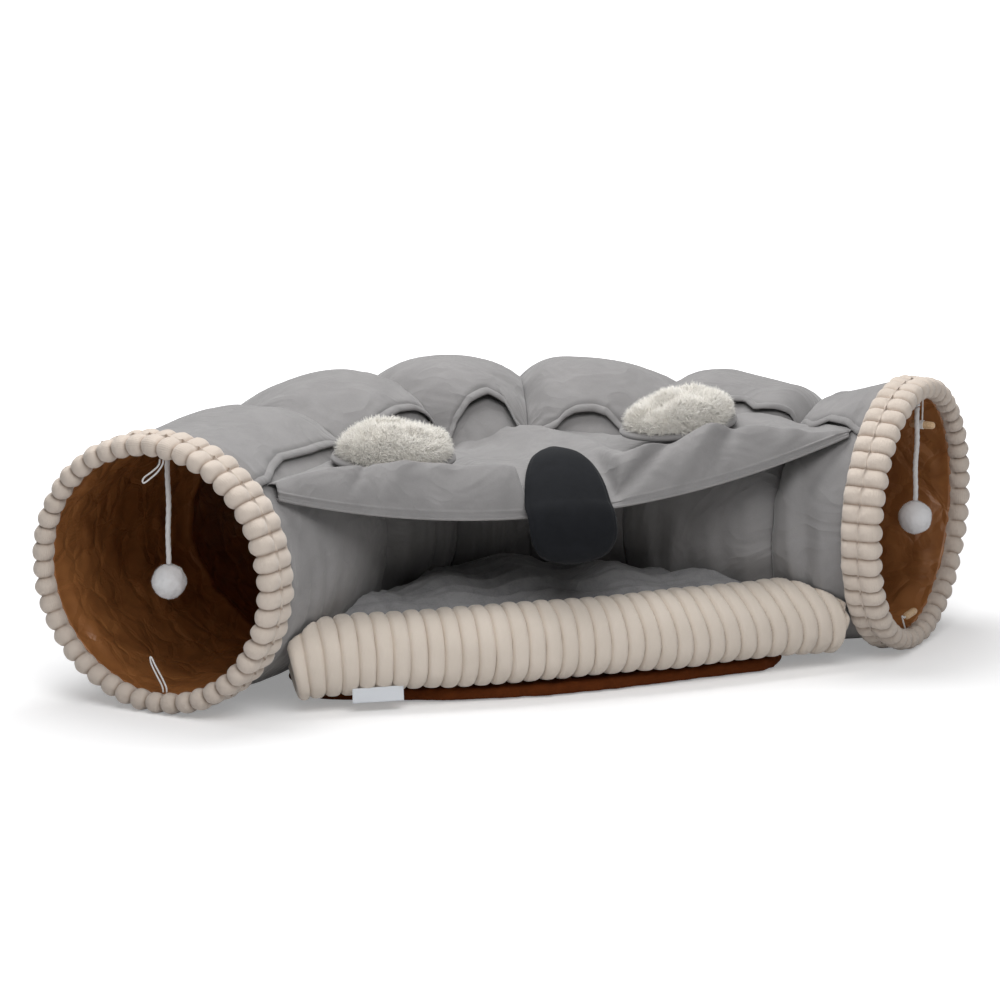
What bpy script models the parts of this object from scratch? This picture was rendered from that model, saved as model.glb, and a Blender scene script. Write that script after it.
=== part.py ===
"""Cat tunnel bed.

A cloth tunnel on sprung hoops bends round a cushioned mat, with a roof flap over the bed.
Metres. X runs from mouth to mouth, Y to the back and Z up. The origin is on the floor, in the
middle of the footprint. A place in the tunnel is a distance along its centre line from the left
mouth, and a turn round the section, zero at the top and positive towards the bed.
"""

import math

import bmesh
import bpy
from mathutils import Matrix, Vector

# Fits
clearance = 0.0003
floor_cut = 0.0005
weld_distance = 0.00002

# Tunnel: two straight legs and a bend between them
leg_length = 0.268
bend_radius = 0.250
bend_half_angle = math.radians(43.0)
cover_radius = 0.125
cover_thickness = 0.0015
lining_thickness = 0.001
seam_depth = 0.022
seam_depth_low_share = 0.3
wire_radius = 0.002
hoop_place_shares = (0.14, 0.357, 0.49, 0.617, 0.785, 0.85, 0.917)
hoop_size_shares = (1.0204, 1.0, 1.0, 0.98, 0.975, 0.94, 0.9541)
seam_place_shares = (0.245, 0.42, 0.566, 0.725, 0.887)
section_sides = 24
panel_step = 0.0415

# End rings: a padded roll round the mouth and a stitched band behind it
mouth_radius = 0.1175
roll_radius = 0.0095
band_radius = 0.1258
band_thickness = 0.0055
band_width = 0.0245
band_groove = 0.0013
ring_ribs = 46
ring_groove_share = 0.86

# Mat: base, cushion and front bolster
base_height = 0.011
base_front_reach = 0.062
base_start = 0.090
cushion_start = 0.132
cushion_centre_reach = 0.075
cushion_edge_height = 0.060
cushion_crown_shares = ((0.93, 1.17), (0.84, 1.31), (0.66, 1.38), (0.42, 1.42), (0.2, 1.44))
cushion_tuft = 0.005
cushion_waves = 4.5
bolster_radius = 0.036
bolster_end_tuck = 0.0366
bolster_shift = 0.015
bolster_front_reach = 0.044
bolster_bow = 0.022
bolster_end_sag = 0.008
bolster_ribs = 35
bolster_groove_share = 0.93
bolster_end_shares = (0.5, 0.82, 0.95)
label_length = 0.047
label_height = 0.0135
label_lift = 0.009
label_thickness = 0.0012
label_place_share = 0.1461

# Roof flap
flap_thickness = 0.0015
flap_left_depth = 0.048
flap_right_depth = 0.036
flap_rear_turn = math.radians(48.0)
flap_rear_turn_right = math.radians(36.0)
flap_left_turn = math.radians(54.5)
flap_right_turn = math.radians(43.0)
flap_turn_share = 0.55
flap_turn_width_share = 0.3
flap_sag = 0.043
flap_fold = 0.007
flap_fold_end_share = 0.91
flap_fold_shares = ((0.80, 0.60, 0.035), (0.30, 0.20, 0.03), (0.46, 0.42, 0.025))

# Nose pad
nose_half_width = 0.041
nose_thickness = 0.018
nose_drop = 0.046
nose_place_share = 0.54
nose_top_share = 0.58
nose_seam_share = 0.05
nose_lean_share = 0.033
nose_forward_shares = (0.18, 0.29, 0.33, 0.33, 0.31)
nose_drop_shares = (0.12, 0.34, 0.6, 0.84, 1.0)
nose_width_shares = (0.16, 0.5, 0.7, 0.84, 0.93, 0.985, 1.0, 1.0, 0.92, 0.7, 0.2)
nose_thick_shares = (0.25, 0.6, 0.85, 0.95, 1.0, 1.0, 1.0, 1.0, 0.95, 0.75, 0.3)

# Ears
ear_length = 0.122
ear_depth = 0.070
ear_back_thickness = 0.006
ear_pile_height = 0.032
ear_rim = 0.004
ear_spread = 0.144
ear_middle = 0.008
ear_back_reach = 0.010
ear_left_yaw = math.radians(8.0)
ear_right_yaw = math.radians(14.0)
ear_left_tilt = math.radians(12.0)
ear_right_tilt = math.radians(7.0)
ear_roll = math.radians(3.0)

# Hanging toys
cord_radius = 0.0025
knot_radius = 0.003
pompon_radius = 0.0155
left_toy_depth = 0.025
right_toy_depth = 0.001
left_toy_drop = 0.121
right_toy_drop = 0.108

# Elastic loops and wooden toggles
thread_radius = 0.0008
top_loop_drop = 0.0235
top_loop_side = 0.008
bottom_loop_side = 0.0
top_loop_shares = ((0.149, 0), (0.106, -0.213), (-0.128, -0.532), (-0.447, -0.809), (-0.702, -1),
                   (-0.787, -0.957), (-0.702, -0.787), (-0.362, -0.532), (-0.064, -0.255), (0, 0))
bottom_loop_rise = 0.0305
bottom_loop_shares = ((0.377, 0), (0.361, 0.164), (0.213, 0.443), (0, 0.77), (-0.131, 1),
                      (-0.18, 0.984), (-0.131, 0.787), (0.066, 0.443), (0.213, 0.197), (0.262, 0))
toggle_radius = 0.0035
toggle_length = 0.025
top_toggle_drop = 0.024
top_toggle_side = 0.012
bottom_toggle_side = 0.024
bottom_toggle_rise = 0.0112
bottom_thread_bulge = 0.0084
bottom_thread_shares = ((0, 0), (0.3, 0.3), (1.1, 1), (1.2, 0.9), (1, 0.45))

# Sizes that follow
tunnel_length = 2 * leg_length + 2 * bend_radius * bend_half_angle
half_span = leg_length * math.cos(bend_half_angle) + bend_radius * math.sin(bend_half_angle)
bend_back = leg_length * math.sin(bend_half_angle)
mouth_height = max(mouth_radius + roll_radius, band_radius) - floor_cut
back_reach = bend_back + bend_radius * (1 - math.cos(bend_half_angle)) + cover_radius
front_reach = mouth_radius * math.cos(bend_half_angle) + roll_radius
mouth_y = (front_reach - back_reach) / 2
bend_y = mouth_y + bend_back - bend_radius * math.cos(bend_half_angle)
band_start = roll_radius + clearance
band_end = band_start + band_width
sleeve_radius = band_radius - band_thickness - clearance
end_hoop_depth = roll_radius + clearance + wire_radius
channel = 2 * wire_radius + 2 * clearance
cover_start = end_hoop_depth + wire_radius + clearance
lining_radius = sleeve_radius - cover_thickness - channel - lining_thickness
up = Vector((0, 0, 1))

# Colours, as the cloths look in even light
cream = (0.66, 0.58, 0.48)
suede = (0.31, 0.30, 0.29)
brown = (0.16, 0.06, 0.02)
charcoal = (0.022, 0.023, 0.026)
white = (0.78, 0.76, 0.72)


def clear_scene():
    for old in list(bpy.data.objects):
        bpy.data.objects.remove(old, do_unlink=True)


def make_collection(name, parent):
    collection = bpy.data.collections.new(name)
    parent.children.link(collection)
    return collection


def make_material(name, colour, roughness, metallic=0.0):
    material = bpy.data.materials.new(name)
    material.use_nodes = True
    shader = material.node_tree.nodes["Principled BSDF"]
    shader.inputs["Base Color"].default_value = (*colour, 1)
    shader.inputs["Roughness"].default_value = roughness
    shader.inputs["Metallic"].default_value = metallic
    return material


def place_object(name, mesh, collection, look, matrix=None):
    """Links a mesh as a named object with its own material."""
    part = bpy.data.objects.new(name, mesh)
    collection.objects.link(part)
    if matrix is not None:
        part.matrix_world = matrix
    if look:
        colour, roughness, metallic = look
        mesh.materials.append(make_material(name, colour, roughness, metallic))
    return part


def finish_mesh(shape, name, smooth=True):
    """Turns a bmesh into a mesh with its faces out."""
    bmesh.ops.recalc_face_normals(shape, faces=shape.faces)
    mesh = bpy.data.meshes.new(name)
    shape.to_mesh(mesh)
    shape.free()
    if smooth:
        mesh.shade_smooth()
        mesh.set_sharp_from_angle(angle=math.radians(40))
    return mesh


def loft(name, sections, round_path=False, round_section=True, capped=True):
    """Skins a list of sections, each a list of the same number of points."""
    shape = bmesh.new()
    rows = [[shape.verts.new(point) for point in section] for section in sections]
    width = len(rows[0])
    pairs = list(zip(rows, rows[1:]))
    if round_path:
        pairs.append((rows[-1], rows[0]))
    for first, second in pairs:
        for k in range(width if round_section else width - 1):
            n = (k + 1) % width
            shape.faces.new((first[k], first[n], second[n], second[k]))
    if capped and not round_path and round_section:
        shape.faces.new(rows[0])
        shape.faces.new(rows[-1])
    return finish_mesh(shape, name)


def centre_line(distance):
    """Point of the tunnel's centre line on the floor, and its heading."""
    to_end = tunnel_length - distance
    if distance < leg_length:
        heading = bend_half_angle
        x = -half_span + distance * math.cos(heading)
        y = mouth_y + distance * math.sin(heading)
    elif to_end < leg_length:
        heading = -bend_half_angle
        x = half_span - to_end * math.cos(heading)
        y = mouth_y - to_end * math.sin(heading)
    else:
        heading = bend_half_angle - (distance - leg_length) / bend_radius
        x = -bend_radius * math.sin(heading)
        y = bend_y + bend_radius * math.cos(heading)
    return Vector((x, y, 0)), heading


def bed_side(heading):
    return Vector((math.sin(heading), -math.cos(heading), 0))


def section_point(distance, turn, radius, height):
    place, heading = centre_line(distance)
    rise = height + radius * math.cos(turn)
    return place + up * rise + bed_side(heading) * (radius * math.sin(turn))


def blend(places, values, at):
    """Reads a value between the places of a table."""
    for k in range(len(places) - 1):
        if at <= places[k + 1]:
            share = (at - places[k]) / (places[k + 1] - places[k])
            return values[k] + (values[k + 1] - values[k]) * max(share, 0)
    return values[-1]


hoop_places = [share * tunnel_length for share in hoop_place_shares]
seam_places = [share * tunnel_length for share in seam_place_shares]
size_places = [band_end, *hoop_places, tunnel_length - band_end]
beside_ring_radius = (cover_radius + sleeve_radius) / 2
hoop_radii = [cover_radius * share for share in hoop_size_shares]
hoop_radii[0] = beside_ring_radius * hoop_size_shares[0]
hoop_radii[-1] = beside_ring_radius * hoop_size_shares[-1]
size_radii = [sleeve_radius, *hoop_radii, sleeve_radius]
size_heights = [mouth_height, *[radius + clearance for radius in hoop_radii], mouth_height]


def tunnel_size(distance):
    """Radius of the cloth over the hoops, and height of the section's centre."""
    radius = blend(size_places, size_radii, distance)
    height = blend(size_places, size_heights, distance)
    return radius, height


def seam_share(distance):
    """How far the cloth is drawn in: nothing at a hoop, fully at a seam."""
    stops = sorted([(place, 0) for place in hoop_places] + [(place, 1) for place in seam_places])
    stops = [(band_end, 0), *stops, (tunnel_length - band_end, 0)]
    for (near, near_value), (far, far_value) in zip(stops, stops[1:]):
        if near <= distance <= far and near_value != far_value:
            share = (distance - near) / (far - near)
            return (share if far_value else 1 - share) ** 2
    return 0.0


def cover_point(distance, turn, inset=0.0):
    radius, height = tunnel_size(distance)
    top_share = seam_depth_low_share + (1 - seam_depth_low_share) * (1 + math.cos(turn)) / 2
    radius -= seam_depth * top_share * seam_share(distance) + inset
    return section_point(distance, turn, radius, height)


def turns(count):
    return [2 * math.pi * k / count for k in range(count)]


def panel_stations(start, end, longest, fewest):
    """Places along a panel: its ends, its hoops and steps between them."""
    knots = [start, *[place for place in size_places if start < place < end], end]
    stations = [start]
    for near, far in zip(knots, knots[1:]):
        steps = max(fewest, math.ceil((far - near) / longest))
        stations += [near + (far - near) * (k + 1) / steps for k in range(steps)]
    return stations


def make_tube_cloth(parts, name, start, end, inset, thickness, longest, fewest, look):
    """An open tube of cloth along the tunnel, thickened inwards."""
    stations = panel_stations(start, end, longest, fewest)
    sections = [[cover_point(s, turn, inset) for turn in turns(section_sides)]
                for s in stations]
    mesh = loft(name, sections, capped=False)
    face = mesh.polygons[0]
    if face.normal.dot(face.center - section_point(start, 0, 0, mouth_height)) < 0:
        mesh.flip_normals()
    cloth = place_object(name, mesh, parts, look)
    shell = cloth.modifiers.new("thickness", "SOLIDIFY")
    shell.thickness = thickness
    shell.offset = -1
    shell.use_even_offset = True
    return cloth


def make_tunnel(parts):
    starts = [cover_start, *[place + clearance / 2 for place in seam_places]]
    ends = [*[place - clearance / 2 for place in seam_places], tunnel_length - cover_start]
    lining_inset = cover_thickness + channel
    for k, (start, end) in enumerate(zip(starts, ends)):
        name = f"outer_cover_{k + 1}"
        make_tube_cloth(parts, name, start, end, 0, cover_thickness, panel_step, 2,
                        (suede, 0.9, 0))
    starts[0] = band_start
    ends[-1] = tunnel_length - band_start
    for k, (start, end) in enumerate(zip(starts, ends)):
        name = f"lining_{k + 1}"
        make_tube_cloth(parts, name, start, end, lining_inset, lining_thickness, 2 * panel_step,
                        1, (brown, 0.6, 0))


def make_hoop(parts, name, distance, radius, height):
    """A wire hoop across the tunnel, with a corner of its outline at the top."""
    place, heading = centre_line(distance)
    along = Vector((math.cos(heading), math.sin(heading), 0))
    turned = Matrix((up, bed_side(heading), along)).transposed().to_4x4()
    bpy.ops.mesh.primitive_torus_add(major_segments=section_sides, minor_segments=6,
                                     major_radius=radius, minor_radius=wire_radius)
    made = bpy.context.active_object
    mesh = made.data
    bpy.data.objects.remove(made)
    mesh.shade_smooth()
    place_object(name, mesh, parts, ((0.55, 0.55, 0.56), 0.35, 1),
                 Matrix.Translation(place + up * height) @ turned)


def make_hoops(parts):
    for k, distance in enumerate(hoop_places):
        radius, height = tunnel_size(distance)
        wire_line = radius - cover_thickness - clearance - wire_radius
        make_hoop(parts, f"spring_hoop_{k + 1}", distance, wire_line, height)
    wire_line = band_radius - band_thickness - clearance - wire_radius
    for side in ("left", "right"):
        distance = mouth_distance(side, end_hoop_depth)
        make_hoop(parts, f"{side}_end_hoop", distance, wire_line, mouth_height)


def mouth_distance(side, depth):
    return depth if side == "left" else tunnel_length - depth


def mouth_point(side, depth, across, height):
    """A point by its depth behind a mouth, its offset towards the bed and its height."""
    place, heading = centre_line(mouth_distance(side, depth))
    return place + bed_side(heading) * across + up * height


def make_rings(parts):
    """Ribbed rolls and bands: each rib has a crest and a groove."""
    for side in ("left", "right"):
        roll_sections = []
        band_sections = []
        for k, turn in enumerate(turns(2 * ring_ribs)):
            roll = roll_radius * (ring_groove_share if k % 2 else 1.0)
            crest = band_radius - (band_groove if k % 2 else 0.0)
            inside = band_radius - band_thickness
            section = []
            for around in turns(8):
                distance = mouth_distance(side, -roll * math.sin(around))
                radius = mouth_radius + roll * math.cos(around)
                point = section_point(distance, turn, radius, mouth_height)
                point.z = max(point.z, 0)
                section.append(point)
            roll_sections.append(section)
            corners = ((band_start, inside), (band_start, crest), (band_end, crest), (band_end, inside))
            band_sections.append([section_point(mouth_distance(side, depth), turn, radius,
                                                mouth_height) for depth, radius in corners])
        roll_mesh = loft(f"{side}_ring_roll", roll_sections, round_path=True)
        place_object(f"{side}_ring_roll", roll_mesh, parts, (cream, 0.95, 0))
        band_mesh = loft(f"{side}_ring_band", band_sections, round_path=True)
        place_object(f"{side}_ring_band", band_mesh, parts, (cream, 0.95, 0))


def side_reach(height):
    """How far the tunnel's widest bulge reaches from its centre line at a height."""
    widest = max(mouth_height, max(size_radii) + cover_thickness)
    return math.sqrt(widest ** 2 - (widest - height) ** 2) + clearance


bolster_wall = side_reach(base_height + bolster_radius) / math.sin(bend_half_angle)
bolster_half_length = (half_span - bolster_shift - bolster_wall + bolster_end_tuck
                       + (bolster_front_reach - bolster_bow) / math.tan(bend_half_angle))


def bed_outline(start, reach, front_y, bend_steps, front_steps):
    """Plan outline of a layer of the mat: along the tunnel, then back across the front."""
    places = [start]
    bend_length = 2 * bend_radius * bend_half_angle
    places += [leg_length + bend_length * k / bend_steps for k in range(bend_steps + 1)]
    places += [tunnel_length - start]
    outline = []
    for distance in places:
        place, heading = centre_line(distance)
        outline.append(place + bed_side(heading) * reach)
    right, left = outline[-1], outline[0]
    for k in range(1, front_steps):
        share = k / front_steps
        point = right.lerp(left, share)
        bow = 4 * share * (1 - share)
        point.y += (front_y - left.y) * bow
        outline.append(point)
    return outline


def make_base(parts):
    outline = bed_outline(base_start, side_reach(base_height), mouth_y - base_front_reach, 12, 14)
    shape = bmesh.new()
    shape.faces.new([shape.verts.new(point) for point in outline])
    mesh = finish_mesh(shape, "mat_base", smooth=False)
    if mesh.polygons[0].normal.z < 0:
        mesh.flip_normals()
    base = place_object("mat_base", mesh, parts, (brown, 0.7, 0))
    plate = base.modifiers.new("height", "SOLIDIFY")
    plate.thickness = base_height
    plate.offset = 1


def make_label(parts):
    """A blank cloth tag that hangs by its top edge from the front of the bolster."""
    behind = bolster_line(label_place_share)
    slope = bolster_line(label_place_share + 0.01) - behind
    top = label_lift + label_height
    reach = math.sqrt(bolster_radius ** 2 - (behind.z - top) ** 2)
    behind.z = label_lift + label_height / 2
    matrix = (Matrix.Translation(behind) @ Matrix.Rotation(math.atan2(slope.y, slope.x), 4, "Z")
              @ Matrix.Translation((0, -reach - clearance - label_thickness / 2, 0)))
    shape = bmesh.new()
    bmesh.ops.create_cube(shape, size=1)
    bmesh.ops.scale(shape, vec=(label_length, label_thickness, label_height), verts=shape.verts)
    place_object("label_tag", finish_mesh(shape, "label_tag", smooth=False), parts,
                 (white, 0.8, 0), matrix)


def bolster_line(share):
    """Centre of the bolster, from its left end (0) to its right end (1)."""
    x = bolster_shift + bolster_half_length * (2 * share - 1)
    y = mouth_y - bolster_front_reach + bolster_bow * (2 * share - 1) ** 2
    z = base_height + clearance + bolster_radius - bolster_end_sag * (2 * share - 1) ** 8
    return Vector((x, y, z))


def make_cushion(parts):
    """A plump pad: straight sides beside the tunnel, a rounded edge, a crown and soft tufts."""
    reach = side_reach(cushion_edge_height)
    outline = bed_outline(cushion_start, reach, 0, 12, 12)
    sides = 15
    for k in range(sides, len(outline)):
        outline[k].y = outline[sides - 1].y
    rear_of_bolster = [bolster_line(0.5 + (point.x - bolster_shift) / (2 * bolster_half_length)).y
                       for point in outline]
    for k, point in enumerate(outline):
        point.y = max(point.y, rear_of_bolster[k] + bolster_radius + clearance)
    centre = Vector((0, mouth_y + cushion_centre_reach, 0))
    bottom = base_height + clearance
    edge = cushion_edge_height
    rows = [(0.96, bottom), (1.0, bottom + 0.2 * edge), (1.0, edge - clearance)]
    rows += [(row_share, edge * rise_share) for row_share, rise_share in cushion_crown_shares]
    sections = []
    for row_share, height in rows:
        section = []
        for k, point in enumerate(outline):
            spot = centre.lerp(point, row_share)
            tufted = 0.0
            if height > edge:
                wave = math.cos(2 * math.pi * cushion_waves * spot.x / half_span)
                tufted = cushion_tuft * wave * (1 - row_share ** 4)
            section.append(Vector((spot.x, spot.y, height + tufted)))
        sections.append(section)
    mesh = loft("mat_cushion", sections)
    place_object("mat_cushion", mesh, parts, (suede, 0.95, 0))


def curve_mesh(name, points, radius, sides_level, radius_shares=None):
    """A tube of a curve with filled and welded ends, as a mesh."""
    curve = bpy.data.curves.new(name, "CURVE")
    curve.dimensions = "3D"
    curve.bevel_depth = radius
    curve.bevel_resolution = sides_level
    curve.use_fill_caps = True
    line = curve.splines.new("POLY")
    line.points.add(len(points) - 1)
    for k, (spot, point) in enumerate(zip(line.points, points)):
        spot.co = (*point, 1)
        spot.radius = radius_shares[k] if radius_shares else 1.0
    made = bpy.data.objects.new(name, curve)
    bpy.context.scene.collection.objects.link(made)
    graph = bpy.context.evaluated_depsgraph_get()
    mesh = bpy.data.meshes.new_from_object(made.evaluated_get(graph))
    bpy.data.objects.remove(made)
    shape = bmesh.new()
    shape.from_mesh(mesh)
    bmesh.ops.remove_doubles(shape, verts=shape.verts, dist=weld_distance)
    bpy.data.meshes.remove(mesh)
    return finish_mesh(shape, name)


def make_bolster(parts, cutters):
    steps = 2 * bolster_ribs
    shares = [1.0 if k % 2 else bolster_groove_share for k in range(steps + 1)]
    for k, end_share in enumerate(bolster_end_shares):
        shares[k] = end_share
        shares[steps - k] = end_share
    points = [bolster_line(k / steps) for k in range(steps + 1)]
    mesh = curve_mesh("front_bolster", points, bolster_radius, 2, shares)
    bolster = place_object("front_bolster", mesh, parts, (cream, 0.95, 0))

    overrun = 2 * roll_radius
    stations = [-overrun, leg_length]
    bend_length = 2 * bend_radius * bend_half_angle
    stations += [leg_length + bend_length * (k + 1) / 8 for k in range(8)]
    stations += [tunnel_length + overrun]
    sections = [[section_point(s, turn, mouth_height, mouth_height) for turn in turns(48)]
                for s in stations]
    keep_out = place_object("tunnel_keep_out", loft("tunnel_keep_out", sections), cutters, None)
    keep_out.hide_render = True
    keep_out.display_type = "WIRE"
    cut = bolster.modifiers.new("beside_tunnel", "BOOLEAN")
    cut.operation = "DIFFERENCE"
    cut.object = keep_out


def smooth_step(value):
    value = min(max(value, 0), 1)
    return value * value * (3 - 2 * value)


def flap_point(across, forward):
    """Top of the roof flap: across from left to right, forward from the rear seam to the hem."""
    start = flap_left_depth
    end = tunnel_length - flap_right_depth
    distance = start + (end - start) * across
    radius, height = tunnel_size(distance)
    lift = flap_thickness + clearance
    turned = smooth_step((across - flap_turn_share) / flap_turn_width_share)
    rear_turn = flap_rear_turn + (flap_rear_turn_right - flap_rear_turn) * turned
    rear = section_point(distance, rear_turn, radius + lift, height)
    corners = []
    for side, depth, turn in (("left", flap_left_depth, flap_left_turn),
                              ("right", flap_right_depth, flap_right_turn)):
        place = mouth_distance(side, depth)
        radius, height = tunnel_size(place)
        corners.append(section_point(place, turn, radius + 2 * lift, height))
    hem = corners[0].lerp(corners[1], across)
    hem.z -= 4 * flap_sag * across * (1 - across)
    point = rear.lerp(hem, forward)
    point.z = rear.z + (hem.z - rear.z) * forward ** 3
    for at_rear, at_hem, width in flap_fold_shares:
        middle = at_rear + (at_hem - at_rear) * forward
        valley = math.exp(-((across - middle) / width) ** 2)
        point.z -= flap_fold * valley * math.sin(math.pi * min(forward / flap_fold_end_share, 1))
    return point


def make_flap(parts):
    columns = 30
    rows = 9
    sections = [[flap_point(c / columns, r / rows) for c in range(columns + 1)]
                for r in range(rows + 1)]
    mesh = loft("roof_flap", sections, round_section=False, capped=False)
    if sum(face.normal.z for face in mesh.polygons) < 0:
        mesh.flip_normals()
    flap = place_object("roof_flap", mesh, parts, (suede, 0.9, 0))
    shell = flap.modifiers.new("thickness", "SOLIDIFY")
    shell.thickness = flap_thickness
    shell.offset = -1
    shell.use_even_offset = True


def nose_frame():
    """Top of the nose on the flap, and the line that it is sewn along."""
    top = flap_point(nose_place_share, nose_top_share)
    beside = flap_point(nose_place_share + nose_seam_share, nose_top_share)
    other = flap_point(nose_place_share - nose_seam_share, nose_top_share)
    return top, (beside - other).normalized()


def make_nose(parts):
    """An egg-shaped pad that lies on the flap and hangs over its hem."""
    top, sewn_line = nose_frame()
    resting = [flap_point(nose_place_share - nose_lean_share * k / 5,
                          nose_top_share + (1 - nose_top_share) * k / 5) for k in range(6)]
    hem = resting[-1]
    path = resting + [hem + Vector((0, -nose_drop * f, -nose_drop * d))
                      for f, d in zip(nose_forward_shares, nose_drop_shares)]
    sections = []
    for k, point in enumerate(path):
        before = path[max(k - 1, 0)]
        after = path[min(k + 1, len(path) - 1)]
        out = (after - before).cross(sewn_line).normalized()
        half_width = nose_half_width * nose_width_shares[k]
        half_depth = nose_thickness * nose_thick_shares[k] / 2
        centre = point + out * (half_depth + 2 * clearance)
        sections.append([centre + sewn_line * (half_width * math.cos(a))
                         + out * (half_depth * math.sin(a)) for a in turns(14)])
    nose = place_object("nose_pad", loft("nose_pad", sections), parts, (charcoal, 0.8, 0))
    move_origin(nose, top)


def move_origin(part, point):
    """Puts an object's origin on its joint."""
    part.data.transform(Matrix.Translation(-point) @ part.matrix_world)
    part.matrix_world = Matrix.Translation(point)


def ear_matrix(side):
    """Frame of an ear at its front seam: X along the seam, Y back, Z out of the pile."""
    sign = -1 if side == "left" else 1
    yaw = ear_left_yaw if side == "left" else ear_right_yaw
    tilt = ear_left_tilt if side == "left" else ear_right_tilt
    middle = Vector((ear_middle + sign * ear_spread, mouth_y + ear_back_reach, mouth_height))
    matrix = (Matrix.Translation(middle) @ Matrix.Rotation(yaw, 4, "Z")
              @ Matrix.Rotation(tilt, 4, "X") @ Matrix.Rotation(-sign * ear_roll, 4, "Y"))
    seat = ear_seat(matrix)
    return matrix @ Matrix.Translation((0, 0, seat + clearance))


def ear_seat(matrix):
    """Height of the cloth under an ear, in the ear's own frame."""
    to_ear = matrix.inverted()
    cloth = [flap_point(a / 120, f / 40) for a in range(121) for f in range(41)]
    for s in range(121):
        distance = tunnel_length * s / 120
        radius, height = tunnel_size(distance)
        cloth += [section_point(distance, math.radians(t), radius, height) for t in range(0, 70, 3)]
    seat = -mouth_height
    for point in cloth:
        spot = to_ear @ point
        along = spot.x / (ear_length / 2)
        back = (spot.y - ear_depth / 2) / (ear_depth / 2)
        if along * along + back * back < 1.1:
            seat = max(seat, spot.z)
    return seat


def make_ears(parts):
    for side in ("left", "right"):
        matrix = ear_matrix(side)
        middle = Matrix.Translation((0, ear_depth / 2, ear_back_thickness / 2))
        shape = bmesh.new()
        bmesh.ops.create_cone(shape, cap_ends=True, segments=24, radius1=0.5, radius2=0.5, depth=1)
        size = (ear_length, ear_depth, ear_back_thickness)
        bmesh.ops.scale(shape, vec=size, verts=shape.verts)
        bmesh.ops.transform(shape, matrix=middle, verts=shape.verts)
        mesh = finish_mesh(shape, f"{side}_ear_back", smooth=False)
        place_object(f"{side}_ear_back", mesh, parts, (suede, 0.9, 0), matrix)

        shape = bmesh.new()
        bmesh.ops.create_uvsphere(shape, u_segments=20, v_segments=10, radius=1)
        bmesh.ops.bisect_plane(shape, geom=[*shape.verts, *shape.edges, *shape.faces],
                               plane_co=(0, 0, 0), plane_no=(0, 0, 1), clear_inner=True)
        bmesh.ops.holes_fill(shape, edges=[edge for edge in shape.edges if edge.is_boundary])
        size = (ear_length / 2 - ear_rim, ear_depth / 2 - ear_rim, ear_pile_height)
        bmesh.ops.scale(shape, vec=size, verts=shape.verts)
        seat = Matrix.Translation((0, ear_depth / 2, ear_back_thickness + clearance))
        bmesh.ops.transform(shape, matrix=seat, verts=shape.verts)
        mesh = finish_mesh(shape, f"{side}_ear_pile")
        place_object(f"{side}_ear_pile", mesh, parts, (white, 0.95, 0), matrix)


def make_ball(parts, name, radius, segments, rings, point, look):
    shape = bmesh.new()
    bmesh.ops.create_uvsphere(shape, u_segments=segments, v_segments=rings, radius=radius)
    return place_object(name, finish_mesh(shape, name), parts, look, Matrix.Translation(point))


def knot_point(side):
    """Centre of a toy's knot, just under the lining on the left and the roll on the right."""
    if side == "left":
        roof = lining_radius
        depth = left_toy_depth
    else:
        roof = mouth_radius - roll_radius
        depth = right_toy_depth
    return mouth_point(side, depth, 0, mouth_height + roof - clearance - knot_radius)


def make_toys(parts):
    for side, drop in (("left", left_toy_drop), ("right", right_toy_drop)):
        knot = knot_point(side)
        pompon = knot - up * drop
        make_ball(parts, f"{side}_toy_knot", knot_radius, 10, 6, knot, (white, 0.9, 0))
        top = knot - up * (knot_radius + clearance)
        foot = pompon + up * (pompon_radius + clearance)
        points = [top.lerp(foot, k / 8) for k in range(9)]
        mesh = curve_mesh(f"{side}_toy_cord", points, cord_radius, 2)
        cord = place_object(f"{side}_toy_cord", mesh, parts, (white, 0.9, 0))
        move_origin(cord, knot)
        ball = make_ball(parts, f"{side}_toy_pompon", pompon_radius, 16, 10, pompon,
                         (white, 0.95, 0))
        move_origin(ball, knot)


def smooth_route(points, steps):
    """Reads a smooth curve through a short list of points."""
    padded = [2 * points[0] - points[1], *points, 2 * points[-1] - points[-2]]
    route = []
    for k in range(1, len(padded) - 2):
        before, start, end, after = padded[k - 1:k + 3]
        for step in range(steps):
            t = step / steps
            route.append(0.5 * (2 * start + (end - before) * t
                                + (2 * before - 5 * start + 4 * end - after) * t ** 2
                                + (3 * start - before - 3 * end + after) * t ** 3))
    route.append(points[-1])
    return route


def roll_inner_height(across, top):
    """Height of the roll's inner face beside the middle of the mouth."""
    inner = mouth_radius - roll_radius
    rise = math.sqrt(inner ** 2 - across ** 2)
    return mouth_height + (rise if top else -rise)


def make_loops(parts):
    """Elastic loops in the left mouth: one hangs from the roll, one stands on it."""
    for name, shares, size, side, top in (
            ("left_top_loop", top_loop_shares, top_loop_drop, top_loop_side, True),
            ("left_bottom_loop", bottom_loop_shares, bottom_loop_rise, bottom_loop_side, False)):
        points = []
        for k, (across, rise) in enumerate(shares):
            foot = side + size * (shares[0][0] if k == 0 else shares[-1][0])
            edge = roll_inner_height(foot, top) + (-2 if top else 2) * clearance
            points.append(mouth_point("left", 0, side + across * size, edge + rise * size))
        mesh = curve_mesh(name, smooth_route(points, 2), thread_radius, 2)
        place_object(name, mesh, parts, (white, 0.7, 0))


def toggle_pivots():
    """Where the two toggles' threads leave the right roll."""
    top = mouth_point("right", 0, -top_toggle_side,
                      roll_inner_height(top_toggle_side, True) - 2 * clearance)
    bottom = mouth_point("right", 0, bottom_toggle_side,
                         roll_inner_height(bottom_toggle_side, False) + 2 * clearance)
    return top, bottom


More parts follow.
